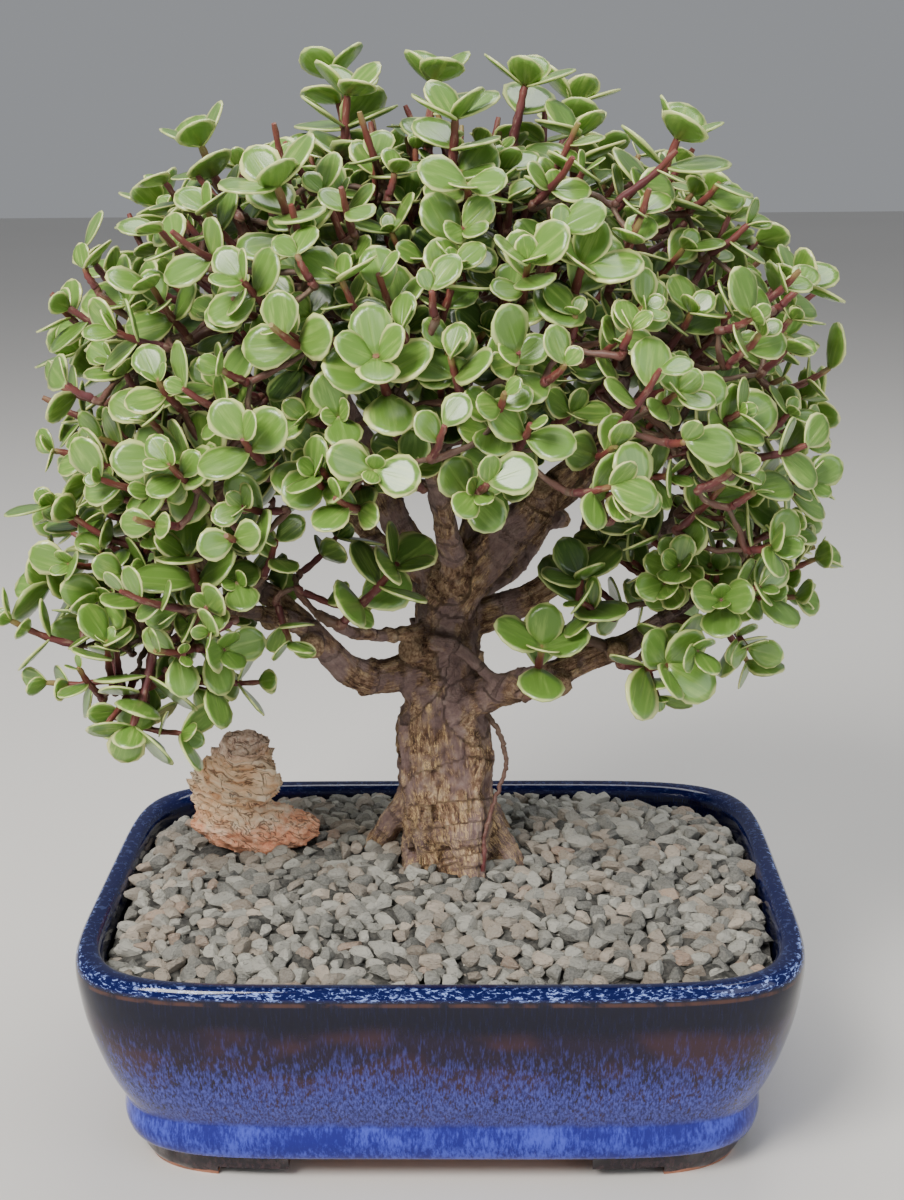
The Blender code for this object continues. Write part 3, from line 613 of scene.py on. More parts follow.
def pick(obj):
    alone()
    obj.select_set(True)
    bpy.context.view_layer.objects.active = obj
    return obj


def primitive(name, operator, **settings):
    alone()
    operator(**settings)
    made = bpy.context.active_object
    made.name = name
    made.data.name = name
    return made


def apply(obj, kind, **settings):
    """Adds one modifier and applies it."""
    pick(obj)
    modifier = obj.modifiers.new(kind.lower(), kind)
    for key, value in settings.items():
        setattr(modifier, key, value)
    bpy.ops.object.modifier_apply(modifier=modifier.name)
    return obj


def join(name, objects):
    alone()
    for obj in objects:
        obj.select_set(True)
    bpy.context.view_layer.objects.active = objects[0]
    bpy.ops.object.join()
    objects[0].name = name
    objects[0].data.name = name
    return objects[0]


def round_over(obj, angle=40):
    """Smooth shading, with edges sharper than the angle left crisp."""
    pick(obj)
    bpy.ops.object.shade_smooth_by_angle(angle=math.radians(angle))
    return obj


def tubes(name, paths, sides=2):
    """Round tubes along paths, as one curve turned into a mesh."""
    curve = bpy.data.curves.new(name, "CURVE")
    curve.dimensions = "3D"
    curve.bevel_depth = 1.0
    curve.bevel_resolution = sides
    curve.use_fill_caps = True
    for path, radii in paths:
        spline = curve.splines.new("POLY")
        spline.points.add(len(path) - 1)
        for point, place, radius in zip(spline.points, path, radii):
            point.co = (*place, 1.0)
            point.radius = radius
    made = bpy.data.objects.new(name, curve)
    bpy.context.scene.collection.objects.link(made)
    pick(made)
    bpy.ops.object.convert(target="MESH")
    made = bpy.context.active_object
    bpy.ops.object.mode_set(mode="EDIT")
    bpy.ops.mesh.select_all(action="SELECT")
    bpy.ops.mesh.remove_doubles(threshold=0.0005)
    bpy.ops.mesh.normals_make_consistent(inside=False)
    bpy.ops.object.mode_set(mode="OBJECT")
    return made


def fine(path, radii, steps, wobble=0.0, seed=0):
    """The same tube with a smooth run between its points, and a slight wander."""
    rows = smooth([(*p, r) for p, r in zip(path, radii)], steps)
    made = []
    for i, row in enumerate(rows):
        inner = 0 < i < len(rows) - 1
        wander = noise.noise_vector(Vector((seed * 3.7, i * 0.45, 1.3))) * (wobble if inner else 0.0)
        made.append(Vector(row[:3]) + wander)
    return made, [max(0.4, row[3]) for row in rows]


def rows_of(points):
    """A table's rows of x, y, height and radius, as a path and its radii."""
    return [vec(p[:3]) for p in points], [p[3] for p in points]


def settle(obj, finish, replaced=()):
    """Puts a finished piece in the frame: metres, riding on the body, in its material."""
    obj.data.transform(TO_FRAME)
    obj.data.materials.clear()
    obj.data.materials.append(finish)
    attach(obj, "root")
    if replaced:
        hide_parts(*replaced)
    return obj


# The pot


def outline(inset, z, segments=POT_SEGMENTS):
    """An oblong with bowed sides and round corners, with its points closest together at the corners."""
    points = []
    for i in range(segments):
        angle = 2 * math.pi * (i + 0.5) / segments
        c, s = math.cos(angle), math.sin(angle)
        x = math.copysign(abs(c) ** (2 / CORNER_POWER), c) * (POT_HALF_X - inset)
        y = math.copysign(abs(s) ** (2 / CORNER_POWER), s) * (POT_HALF_Y - inset)
        points.append(Vector((x, y, z)))
    return points


def around(point):
    """The angle at which a point lies round the pot's middle."""
    return math.atan2(point.y, point.x) % (2 * math.pi)


def ringed(name, sections):
    """A closed wall drawn up ring by ring: a circle is extruded once for each section and set to it."""
    made = primitive(name, bpy.ops.mesh.primitive_circle_add, vertices=POT_SEGMENTS, radius=1.0)
    bpy.ops.object.mode_set(mode="EDIT")
    bpy.ops.mesh.edge_face_add()
    for index, (z, inset) in enumerate(sections):
        if index:
            bpy.ops.mesh.extrude_region_move(TRANSFORM_OT_translate={"value": (0, 0, 1)})
        work = bmesh.from_edit_mesh(made.data)
        chosen = sorted((v for v in work.verts if v.select), key=lambda v: around(v.co))
        for vertex, place in zip(chosen, sorted(outline(inset, z), key=around)):
            vertex.co = place
        bmesh.update_edit_mesh(made.data)
    bpy.ops.mesh.select_all(action="SELECT")
    bpy.ops.mesh.normals_make_consistent(inside=False)
    bpy.ops.object.mode_set(mode="OBJECT")
    return made


def cut(obj, cutter):
    apply(obj, "BOOLEAN", operation="DIFFERENCE", solver="EXACT", object=cutter)
    bpy.data.objects.remove(cutter)
    return obj


def box(low, high):
    middle = [(a + b) / 2 for a, b in zip(low, high)]
    made = primitive("cutter", bpy.ops.mesh.primitive_cube_add, size=1.0, location=middle)
    made.scale = [b - a for a, b in zip(low, high)]
    bpy.ops.object.transform_apply(location=True, rotation=True, scale=True)
    return made


def make_pot_body():
    """The bowl, from its underside up the outer wall, over the lip and down to the floor inside."""
    outer = [s for s in smooth(OUTER_SECTIONS, 4) if s[0] < LIP_SECTIONS[0][0] - 0.1]
    lip = smooth(LIP_SECTIONS, 3)
    body = ringed("pot_body", [tuple(s) for s in outer + lip] + list(INNER_SECTIONS))
    for x in (-DRAIN_X, DRAIN_X):
        hole = primitive("drain", bpy.ops.mesh.primitive_cylinder_add, vertices=48, radius=DRAIN_RADIUS,
                         depth=FLOOR_Z, location=(x, 0, (UNDERSIDE_Z + FLOOR_Z) / 2))
        bpy.ops.object.transform_apply(location=True, rotation=True, scale=True)
        cut(body, hole)
    return round_over(body, 50)


def make_pot_feet():
    """Four corner feet: a ring under the base, hollowed and cut through twice for their steps."""
    high = UNDERSIDE_Z + 0.6
    sides = [(0.0, FOOT_INSET + FOOT_TAPER), (FOOT_STEP_Z, FOOT_INSET + 0.5), (high, FOOT_INSET)]
    feet = ringed("pot_feet", sides)
    inner = FOOT_INSET + FOOT_WIDTH
    cut(feet, ringed("foot_hollow", [(-2.0, inner), (high + 2, inner)]))
    for step, top in ((0.0, high + 2), (FOOT_STEP, FOOT_STEP_Z)):
        x, y = FOOT_REACH_X + step, FOOT_REACH_Y + step
        cut(feet, box((-x, -POT_HALF_Y, -2), (x, POT_HALF_Y, top)))
        cut(feet, box((-POT_HALF_X, -y, -2), (POT_HALF_X, y, top)))
    apply(feet, "BEVEL", width=1.1, segments=3, limit_method="ANGLE", angle_limit=math.radians(40))
    return round_over(feet, 50)


# Gravel and the ornament stone


def mound(x, y):
    """The height of the gravel bed, highest round the trunk."""
    far = min(1.0, (abs(x / POT_HALF_X) ** 2.6 + abs(y / POT_HALF_Y) ** 2.6))
    return GRAVEL_EDGE_Z + GRAVEL_MOUND * (1 - far) ** 0.8


def stone_shape(seed):
    """One broken stone: a ball with flats pressed on it, a little uneven between them."""
    rng = random.Random(seed)
    stone = primitive("stone", bpy.ops.mesh.primitive_ico_sphere_add, subdivisions=2, radius=1.0)
    flats = []
    for _ in range(STONE_FLATS):
        facing = Vector([rng.gauss(0, 1) for _ in range(3)]).normalized()
        flats.append((facing, rng.uniform(0.48, 0.80)))
    for vertex in stone.data.vertices:
        place = vertex.co * (1 + 0.16 * noise.noise(vertex.co * 1.3 + Vector((seed * 5.1, 0, 0))))
        for facing, depth in flats:
            place -= facing * max(0.0, place.dot(facing) - depth)
        vertex.co = place
    return stone


def mesh_arrays(obj):
    """The points, faces and UV of a model, for making many copies in one mesh."""
    mesh = obj.data
    points = np.empty(len(mesh.vertices) * 3)
    mesh.vertices.foreach_get("co", points)
    corners = np.empty(len(mesh.loops), dtype=np.int64)
    mesh.loops.foreach_get("vertex_index", corners)
    starts = np.empty(len(mesh.polygons), dtype=np.int64)
    mesh.polygons.foreach_get("loop_start", starts)
    uv = None
    if mesh.uv_layers:
        uv = np.empty(len(mesh.loops) * 2)
        mesh.uv_layers[0].data.foreach_get("uv", uv)
    return points.reshape(-1, 3), corners, starts, uv


def copies(name, placed, rounded=True):
    """Copies of modelled shapes in one mesh: each placed row has arrays, a 4x4 matrix and a tone."""
    points, corners, starts, uvs, tones = [], [], [], [], []
    vertex_count = corner_count = 0
    for (co, loops, first, uv), matrix, tone in placed:
        m = np.array(matrix)
        points.append(co @ m[:3, :3].T + m[:3, 3])
        corners.append(loops + vertex_count)
        starts.append(first + corner_count)
        if uv is not None:
            uvs.append(uv)
        tones.append(np.tile(np.array((*tone, 1.0)), (len(co), 1)))
        vertex_count += len(co)
        corner_count += len(loops)
    mesh = bpy.data.meshes.new(name)
    mesh.vertices.add(vertex_count)
    mesh.vertices.foreach_set("co", np.concatenate(points).ravel())
    mesh.loops.add(corner_count)
    mesh.loops.foreach_set("vertex_index", np.concatenate(corners).astype(np.int32))
    first = np.concatenate(starts).astype(np.int32)
    mesh.polygons.add(len(first))
    mesh.polygons.foreach_set("loop_start", first)
    mesh.update(calc_edges=True)
    if uvs:
        layer = mesh.uv_layers.new(name="UVMap")
        layer.data.foreach_set("uv", np.concatenate(uvs))
    tone_layer = mesh.color_attributes.new("tone", "FLOAT_COLOR", "POINT")
    tone_layer.data.foreach_set("color", np.concatenate(tones).ravel())
    mesh.validate()
    mesh.polygons.foreach_set("use_smooth", [rounded] * len(mesh.polygons))
    made = bpy.data.objects.new(name, mesh)
    bpy.context.scene.collection.objects.link(made)
    return made


def make_gravel_stones(blockers):
    """Broken stones on the bed in two courses, clear of the trunk, the roots and the ornament stone."""
    rng = random.Random(STONE_SEED)
    models = [stone_shape(seed) for seed in range(STONE_SHAPES)]
    shapes = [mesh_arrays(model) for model in models]
    for model in models:
        bpy.data.objects.remove(model)
    wall = (POT_HALF_X - WALL_INSET, POT_HALF_Y - WALL_INSET)
    row_pitch = GRAVEL_PITCH * math.sqrt(3) / 2
    grey, warm = [], []
    for course, drop in ((0, 0.0), (1, 2.6)):
        for row in range(-int(POT_HALF_Y / row_pitch), int(POT_HALF_Y / row_pitch) + 1):
            for column in range(-int(POT_HALF_X / GRAVEL_PITCH) - 1, int(POT_HALF_X / GRAVEL_PITCH) + 2):
                x = (column + 0.5 * (row % 2) + 0.33 * course + rng.uniform(-0.28, 0.28)) * GRAVEL_PITCH
                y = (row + 0.4 * course + rng.uniform(-0.28, 0.28)) * row_pitch
                size = rng.uniform(*STONE_SIZE)
                half = (wall[0] - size * 0.75, wall[1] - size * 0.75)
                if abs(x / half[0]) ** CORNER_POWER + abs(y / half[1]) ** CORNER_POWER > 1:
                    continue
                place = Vector((x, y, mound(x, y) + 0.4 - drop + rng.uniform(-0.7, 0.7)))
                if any((place - centre).length < radius + size * 0.35 for centre, radius in blockers):
                    continue
                spin = Matrix.Rotation(rng.uniform(0, 2 * math.pi), 4, "Z")
                tip = Matrix.Rotation(rng.uniform(-0.6, 0.6), 4, "X")
                shares = [rng.uniform(low, high) for low, high in STONE_SHARES]
                stretch = Matrix.Diagonal((*(size * share for share in shares), 1))
                tone = (rng.random(), rng.random(), rng.random())
                kind = warm if rng.random() < WARM_SHARE else grey
                kind.append((rng.choice(shapes), Matrix.Translation(place) @ spin @ tip @ stretch, tone))
    return copies("gravel_grey_stones", grey, False), copies("gravel_warm_stones", warm, False)


def rock_lump(centre, size, turn, seed):
    """One lump of the ornament stone, as in the solids."""
    rng = random.Random(seed)
    lump = primitive("lump", bpy.ops.mesh.primitive_ico_sphere_add, subdivisions=2, radius=1.0)
    spin = Matrix.Rotation(math.radians(turn), 3, "Y") @ Matrix.Rotation(math.radians(turn * 0.5), 3, "Z")
    for vertex in lump.data.vertices:
        swell = 1 + rng.uniform(-0.13, 0.13)
        direction = vertex.co.normalized()
        place = Vector([d * s * swell for d, s in zip(direction, size)])
        vertex.co = spin @ place + Vector(centre)
    return lump


def make_rock():
    """The lumps run together, then worn into ledges along their bedding, with pits."""
    rock = join("ornament_rock", [rock_lump(*lump) for lump in ROCK_LUMPS])
    apply(rock, "REMESH", mode="VOXEL", voxel_size=ROCK_VOXEL)
    apply(rock, "SMOOTH", factor=0.5, iterations=3)
    mesh = rock.data
    normals = [v.normal.copy() for v in mesh.vertices]
    for vertex, normal in zip(mesh.vertices, normals):
        p = vertex.co
        bend = noise.noise(p * 0.06) * 5.0
        upper = min(1.0, max(0.0, (p.z - RIM_Z - 10) / 6))
        course = (p.dot(BEDDING) + bend) / LEDGE_PITCH
        ledge = (course - math.floor(course)) ** 1.6 - 0.40
        grain = noise.fractal(p * 0.22, 0.9, 2.1, 4)
        pits = max(0.0, noise.noise(p * 0.55 + Vector((9, 2, 4))) - 0.25)
        vertex.co = p + normal * (ledge * (0.9 + 1.1 * upper) + grain * 1.1 - pits * 1.8)
    apply(rock, "DECIMATE", ratio=0.9)
    return round_over(rock, 60)


# Wood and leaves


def sample_frames(paths, spacing=1.0):
    """Points along every tube with their distance along it, their frame and their radius."""
    samples = []
    for number, (path, radii) in enumerate(paths):
        travelled = number * 40.0
        total = sum((b - a).length for a, b in zip(path, path[1:])) or 1.0
        gone = 0.0
        for (a, ra), (b, rb) in zip(zip(path, radii), zip(path[1:], radii[1:])):
            length = (b - a).length
            if length < 1e-6:
                continue
            direction = (b - a) / length
            side, over = frame_of(direction, 0.0)
            count = max(1, int(length / spacing))
            for i in range(count):
                t = i / count
                here = gone + length * t
                radius = ra + (rb - ra) * t
                samples.append((a.lerp(b, t), side, over, travelled + here, radius, here / total, number))
            gone += length
    tree = kdtree.KDTree(len(samples))
    for i, sample in enumerate(samples):
        tree.insert(sample[0], i)
    tree.balance()
    return samples, tree


def follow_grain(obj, samples, tree):
    """Writes where each point lies on its own tube: across it and along it, in millimetres."""
    mesh = obj.data
    mesh.attributes.new("grain", "FLOAT_VECTOR", "POINT")
    mesh.color_attributes.new("tone", "FLOAT_COLOR", "POINT")
    grain, tone = mesh.attributes["grain"], mesh.attributes["tone"]
    for vertex in mesh.vertices:
        _, i, _ = tree.find(vertex.co)
        centre, side, over, along, radius, share, number = samples[i]
        off = vertex.co - centre
        grain.data[vertex.index].vector = (off.dot(side), off.dot(over), along)
        tone.data[vertex.index].color = (share, (number * 0.618) % 1.0, min(1.0, radius / 12), 0.0)
    return obj


def make_wood_mass(limbs):
    """The trunk, its roots and the limbs, run together into one skin and barked."""
    trunk = fine([vec(p[:3]) for p in TRUNK], [p[3] * TRUNK_SLIM for p in TRUNK], 4)
    roots = [fine(*rows_of(points), 4, 0.8, 3) for points in ROOTS]
    strands = [fine(*rows_of(points), 4, 0.8, 5) for points in STRANDS]
    main = [fine(path, radii, 5, 0.9, n + 11) for n, (path, radii) in enumerate(limbs.values())]
    collars = []
    for path, radii in main:
        at = min(len(path) - 2, 6)
        ahead = (path[at + 1] - path[at]).normalized() * COLLAR_REACH
        widths = [radii[at] * share for share in COLLAR_SHARES]
        collars.append(([path[at] - ahead, path[at], path[at] + ahead], widths))
    stubs = []
    for start, direction, length, radius in STUBS:
        aim = Vector(direction).normalized()
        begin = vec(start)
        path = [begin, begin + aim * length * 0.6, begin + aim * length]
        stubs.append((path, [radius, radius * 1.02, radius * 1.12]))
    every = [trunk] + roots + strands + main
    wood = tubes("trunk_and_limbs", every + collars + stubs, 5)
    apply(wood, "REMESH", mode="VOXEL", voxel_size=WOOD_VOXEL)
    apply(wood, "SMOOTH", factor=0.5, iterations=4)
    follow_grain(wood, *sample_frames([trunk] + roots + main + stubs))
    mesh = wood.data
    grain, tone = mesh.attributes["grain"].data, mesh.attributes["tone"].data
    normals = [v.normal.copy() for v in mesh.vertices]
    ends = [(path[-1], radii[-1]) for path, radii in stubs]
    for vertex, normal in zip(mesh.vertices, normals):
        gx, gy, gz = grain[vertex.index].vector
        thick = tone[vertex.index].color[2]
        furrow = noise.fractal(Vector((gx * 0.30, gy * 0.30, gz * 0.05)), 0.8, 2.2, 3)
        strand = noise.noise(Vector((gx * 0.85, gy * 0.85, gz * 0.10)))
        burl = noise.noise(vertex.co * 0.09)
        cut_end = any((vertex.co - centre).length < radius * 1.15 for centre, radius in ends)
        colour = tone[vertex.index].color
        tone[vertex.index].color = (colour[0], colour[1], colour[2], 1.0 if cut_end else 0.0)
        amount = furrow * (0.35 + 2.0 * thick) + strand * (0.18 + 0.55 * thick) + burl * 1.6 * thick
        amount = 0.0 if cut_end else amount
        for centre, radius, depth in HOLLOWS:
            near = (vertex.co - vec(centre)).length / radius
            if near < 2:
                amount -= depth * math.exp(-near * near)
        vertex.co += normal * amount
    return round_over(wood, 80)


def make_jointed(name, stems, steps, wobble, seed, every, swell, slim):
    """Thin tubes, swollen at every so many steps, where leaves sit or sat."""
    paths = []
    for n, (path, radii) in enumerate(stems):
        points, widths = fine(path, radii, steps, wobble, n + seed)
        paths.append((points, [w * (swell if i % every == 1 else slim) for i, w in enumerate(widths)]))
    made = tubes(name, paths, 2)
    follow_grain(made, *sample_frames(paths))
    return round_over(made, 80)


def model_leaf():
    """One fleshy blade: length 1 along y and width 1 along x, domed above and below."""
    leaf = primitive("leaf", bpy.ops.mesh.primitive_circle_add, vertices=14, radius=1.0, fill_type="TRIFAN")
    bpy.ops.object.mode_set(mode="EDIT")
    bpy.ops.mesh.select_all(action="SELECT")
    bpy.ops.mesh.inset(thickness=0.36)
    bpy.ops.object.mode_set(mode="OBJECT")
    heart = Vector((0.0, 0.56, 0.0))
    spans = []
    for vertex in leaf.data.vertices:
        span = min(1.0, vertex.co.length)
        turn = math.atan2(vertex.co.x, -vertex.co.y)
        along = 0.5 - 0.5 * math.cos(turn)
        rim = Vector((math.copysign(half_width(along) * 0.5, turn), along, 0.0))
        spans.append(span)
        vertex.co = heart.lerp(rim, span)
    layer = leaf.data.uv_layers[0] if leaf.data.uv_layers else leaf.data.uv_layers.new(name="UVMap")
    for loop in leaf.data.loops:
        place = leaf.data.vertices[loop.vertex_index].co
        layer.data[loop.index].uv = (place.x + 0.5, place.y)
    apply(leaf, "SOLIDIFY", thickness=0.045, offset=0.0)
    for vertex in leaf.data.vertices:
        x, y, z = vertex.co
        span = spans[vertex.index % len(spans)]
        dome = 0.034 * (1 - span ** 2.2)
        crease = 0.020 * (1 - span) if z > 0 else 0.0
        across = min(1.0, abs(x) * 2)
        cupped = 0.045 * across * across + 0.05 * y * y
        vertex.co.z = math.copysign(abs(z) * 0.8 + dome - crease, z) + cupped
    return leaf


def leaf_rows(leaves, shape, rng, young, depth_of):
    rows = []
    for leaf in leaves:
        matrix = Matrix.Identity(4)
        matrix.col[0] = (*(leaf.side * -leaf.width), 0)
        matrix.col[1] = (*(leaf.axis * leaf.length), 0)
        matrix.col[2] = (*(leaf.normal * leaf.length), 0)
        matrix.col[3] = (*leaf.base, 1)
        if matrix.determinant() < 0:
            matrix.col[0] = -matrix.col[0]
        tip = leaf.at(0.6, 0, 0)
        fresh = young + rng.uniform(-0.35, 0.35) + (LEAF_LENGTH * 0.8 - leaf.length) * 0.05
        fresh = min(1.0, max(0.0, fresh))
        # The third tone is how near the crown's skin the leaf lies, for the painted shade deep in the
        # crown.
        rows.append((shape, matrix, (rng.random(), fresh, depth_of(tip))))
    return rows


def crown_depth(point):
    """1 at the crown's skin, down to 0 deep inside it; it sets the leaves' painted shade."""
    off = point - CROWN_CENTRE
    tall = CROWN_HALF.z if off.z > 0 else CROWN_DEPTH * 1.3
    reach = Vector((off.x / CROWN_HALF.x, off.y / CROWN_HALF.y, off.z / tall)).length
    return min(1.0, max(0.0, (reach - 0.45) / 0.5))


# Materials


class Wire:
    """A socket in a material: arithmetic on it adds Math nodes."""

    def __init__(self, finish, socket):
        self.finish, self.socket = finish, socket

    def math(self, operation, a, b):
        return self.finish.node("ShaderNodeMath", {"operation": operation}, {0: a, 1: b})

    def __add__(self, other):
        return self.math("ADD", self, other)

    def __sub__(self, other):
        return self.math("SUBTRACT", self, other)

    def __rsub__(self, other):
        return self.math("SUBTRACT", other, self)

    def __mul__(self, other):
        return self.math("MULTIPLY", self, other)

    def __truediv__(self, other):
        return self.math("DIVIDE", self, other)

    def __pow__(self, other):
        return self.math("POWER", self, other)

    def __abs__(self):
        return self.math("ABSOLUTE", self, 0.0)

    def sine(self):
        return self.math("SINE", self, 0.0)

    def most(self, other):
        """The larger of the two."""
        return self.math("MAXIMUM", self, other)

    __radd__ = __add__
    __rmul__ = __mul__


class Finish:
    """One material and its nodes."""

    def __init__(self, name, **constants):
        self.material = bpy.data.materials.new(name)
        self.material.use_nodes = True
        self.tree = self.material.node_tree
        self.shader = self.tree.nodes["Principled BSDF"]
        for key, value in constants.items():
            self.shader.inputs[key.replace("_", " ")].default_value = value

    def node(self, kind, settings=None, sockets=None, out=0):
        """Adds a node: its settings first, then the values or links of its sockets."""
        made = self.tree.nodes.new(kind)
        for key, value in (settings or {}).items():
            if key == "stops":
                ramp = made.color_ramp
                while len(ramp.elements) < len(value):
                    ramp.elements.new(0.5)
                for element, (place, colour) in zip(ramp.elements, value):
                    element.position = place
                    element.color = (*colour, 1.0)
            else:
                setattr(made, key, value)
        for key, value in (sockets or {}).items():
            self.feed(made.inputs[key], value)
        return Wire(self, made.outputs[out])

    def feed(self, socket, value):
        if isinstance(value, Wire):
            self.tree.links.new(value.socket, socket)
        elif isinstance(value, tuple) and socket.type == "RGBA":
            socket.default_value = (*value, 1.0)
        else:
            socket.default_value = value

    def set(self, **links):
        for key, value in links.items():
            self.feed(self.shader.inputs[key.replace("_", " ")], value)
        return self.material

    def place(self):
        """Object coordinates in millimetres from the pot's centre."""
        coords = self.node("ShaderNodeTexCoord", out=3)
        moved = self.node("ShaderNodeVectorMath", {"operation": "SUBTRACT"}, {0: coords, 1: tuple(SHIFT)})
        return self.stretch(moved, 1 / MM)

    def stretch(self, vector, factors):
        factors = factors if isinstance(factors, tuple) else (factors, factors, factors)
        return self.node("ShaderNodeVectorMath", {"operation": "MULTIPLY"}, {0: vector, 1: factors})

    def parts(self, vector):
        split = self.node("ShaderNodeSeparateXYZ", sockets={0: vector})
        return [Wire(self, out) for out in split.socket.node.outputs]

    def join(self, x, y, z):
        return self.node("ShaderNodeCombineXYZ", sockets={0: x, 1: y, 2: z})

    def attribute(self, name, out=1):
        """out is 0 for colour, 1 for vector, 2 for factor and 3 for alpha."""
        return self.node("ShaderNodeAttribute", {"attribute_name": name}, out=out)

    def noise(self, vector, factors, detail=3.0, roughness=0.5, distortion=0.0):
        """Noise with features about as long as 1 over each factor; one number serves for all three."""
        at = vector if factors == 1 else self.stretch(vector, factors)
        return self.node("ShaderNodeTexNoise", sockets={
            "Vector": at, "Scale": 1.0, "Detail": detail, "Roughness": roughness, "Distortion": distortion,
        })

    def ease(self, value, low, high):
        """0 below low, 1 above high, and smooth between them."""
        return self.node("ShaderNodeMapRange", {"interpolation_type": "SMOOTHSTEP"},
                         {0: value, 1: low, 2: high, 3: 0.0, 4: 1.0})

    def ramp(self, value, stops):
        return self.node("ShaderNodeValToRGB", {"stops": stops}, {0: value})

    def mix(self, factor, a, b):
        return self.node("ShaderNodeMix", {"data_type": "RGBA"}, {0: factor, 6: a, 7: b}, out=2)

    def bump(self, height, distance, strength=1.0):
        return self.node("ShaderNodeBump", sockets={
            "Height": height, "Distance": distance, "Strength": strength,
        })


def glaze_finish():
    """Running blue glaze over dark clay: streaked sides, a bright foot band and a broken rim."""
    f = Finish("running_blue_glaze", Specular_IOR_Level=0.36)
    p = f.place()
    x, y, z = f.parts(p)
    sag = f.noise(p, (0.03, 0.03, 0.0), detail=2.0)
    streaks = f.noise(p, (0.75, 0.75, 0.040), detail=4.0, roughness=0.62)
    hair = f.noise(p, (1.9, 1.9, 0.10), detail=4.0, roughness=0.65)
    depth = abs(x / (POT_HALF_X - 4.6)) ** CORNER_POWER + abs(y / (POT_HALF_Y - 4.6)) ** CORNER_POWER
    inside = f.ease(depth, 1.04, 0.98) * f.ease(z, 46.0, 50.0)
    low = 1 - f.ease(z + (sag - 0.5) * 12, 26.0, 53.0)
    run = f.ease(streaks * 0.55 + hair * 0.45 + low * 0.13, 0.49, 0.64)
    drift = f.ease(f.noise(p, (0.05, 0.05, 0.09)), 0.42, 0.62)
    clay = f.mix(drift, (0.012, 0.006, 0.020), (0.034, 0.013, 0.022))
    blue = f.mix(f.ease(hair, 0.35, 0.7), (0.013, 0.013, 0.12), (0.080, 0.095, 0.44))
    wall = f.mix(run * (0.18 + 0.82 * low), clay, blue)
    wash = f.mix(f.ease(z, 30.0, 16.0) * 0.35, wall, (0.018, 0.018, 0.16))
    band_edge = z + (f.noise(p, (0.25, 0.25, 0.0), detail=2.0) - 0.5) * 4.5
    band = f.ease(band_edge, 20.6, 18.2) * f.ease(z, 6.6, 8.4)
    speck = f.noise(p, (1.1, 1.1, 0.35), detail=5.0, roughness=0.7)
    cloud = f.noise(p, (0.06, 0.06, 0.1), detail=3.0)
    fleck = f.ease(speck * 0.65 + cloud * 0.5, 0.50, 0.70)
    bright = f.mix(fleck, (0.009, 0.011, 0.20), (0.058, 0.080, 0.54))
    body = f.mix(band, wash, bright)
    dark = f.ease(z + (sag - 0.5) * 9, 49.0, 55.0)
    shoulder = f.mix(f.ease(hair, 0.45, 0.7) * 0.35, (0.002, 0.002, 0.012), (0.008, 0.012, 0.06))
    body = f.mix(dark, body, shoulder)
    line = f.ease(z, 60.3, 60.8) * f.ease(z, 61.9, 61.3)
    worn = f.ease(f.noise(p, 0.2), 0.35, 0.6)
    body = f.mix(line * worn * 0.55, body, (0.11, 0.045, 0.028))
    inner = f.mix(f.ease(hair, 0.55, 0.75) * 0.5, (0.002, 0.003, 0.020), (0.02, 0.03, 0.16))
    body = f.mix(inside, body, inner)
    rim = f.ease(z, 61.6, 62.8)
    broken = f.noise(p, (0.55, 0.55, 1.6), detail=5.0, roughness=0.7, distortion=0.6)
    pale = f.ease(broken, 0.53, 0.61)
    lip = f.mix(pale, (0.003, 0.006, 0.06), (0.26, 0.36, 0.78))
    outermost = abs(x / (POT_HALF_X - 2.2)) ** CORNER_POWER + abs(y / (POT_HALF_Y - 2.2)) ** CORNER_POWER
    lip = f.mix(0.10 + 0.90 * f.ease(outermost, 0.97, 1.06), (0.003, 0.005, 0.050), lip)
    colour = f.mix(rim, body, lip)
    bare = f.ease(z, 7.5, 7.05)
    colour = f.mix(bare, colour, (0.30, 0.12, 0.06))
    ripple = f.noise(p, 0.06, detail=2.0)
    return f.set(Base_Color=colour, Roughness=0.07 + bare * 0.7,
                 Normal=f.bump(ripple * 0.8 + hair * 0.03, 0.0008, 0.35))


def foot_finish():
    """Dark brown glaze that stops short of the bare clay at the bottom of each foot."""
    f = Finish("foot_glaze")
    p = f.place()
    _, _, z = f.parts(p)
    wander = f.noise(p, 0.12, detail=3.0)
    bare = f.ease(z + (wander - 0.5) * 3.0, 1.5, 0.9)
    speck = f.noise(p, (0.8, 0.8, 0.5), detail=4.0)
    glaze = f.mix(f.ease(speck, 0.4, 0.7), (0.012, 0.007, 0.010), (0.045, 0.022, 0.025))
    clay = f.mix(speck, (0.30, 0.11, 0.06), (0.46, 0.20, 0.12))
    return f.set(Base_Color=f.mix(bare, glaze, clay), Roughness=0.12 + bare * 0.6,
                 Normal=f.bump(speck, 0.0003, 0.3))


def gravel_finish(name, dull, light, stain):
    f = Finish(name, Specular_IOR_Level=0.35)
    p = f.place()
    tone, pick_stain, _ = f.parts(f.attribute("tone"))
    grit = f.noise(p, 1.6, detail=5.0, roughness=0.7)
    veins = f.noise(p, (0.5, 0.5, 2.4), detail=4.0, distortion=1.2)
    colour = f.mix(f.ease(tone, 0.0, 1.0), dull, light)
    colour = f.mix(f.ease(pick_stain, 0.72, 0.95) * 0.7, colour, stain)
    colour = f.mix(f.ease(veins, 0.56, 0.68) * 0.55, colour, (0.085, 0.080, 0.072))
    colour = f.mix(f.ease(grit, 0.35, 0.62) * 0.32, colour, (0.50, 0.48, 0.42))
    return f.set(Base_Color=colour, Roughness=0.72 + grit * 0.25,
                 Normal=f.bump(grit + veins * 0.8, 0.0010, 0.9))


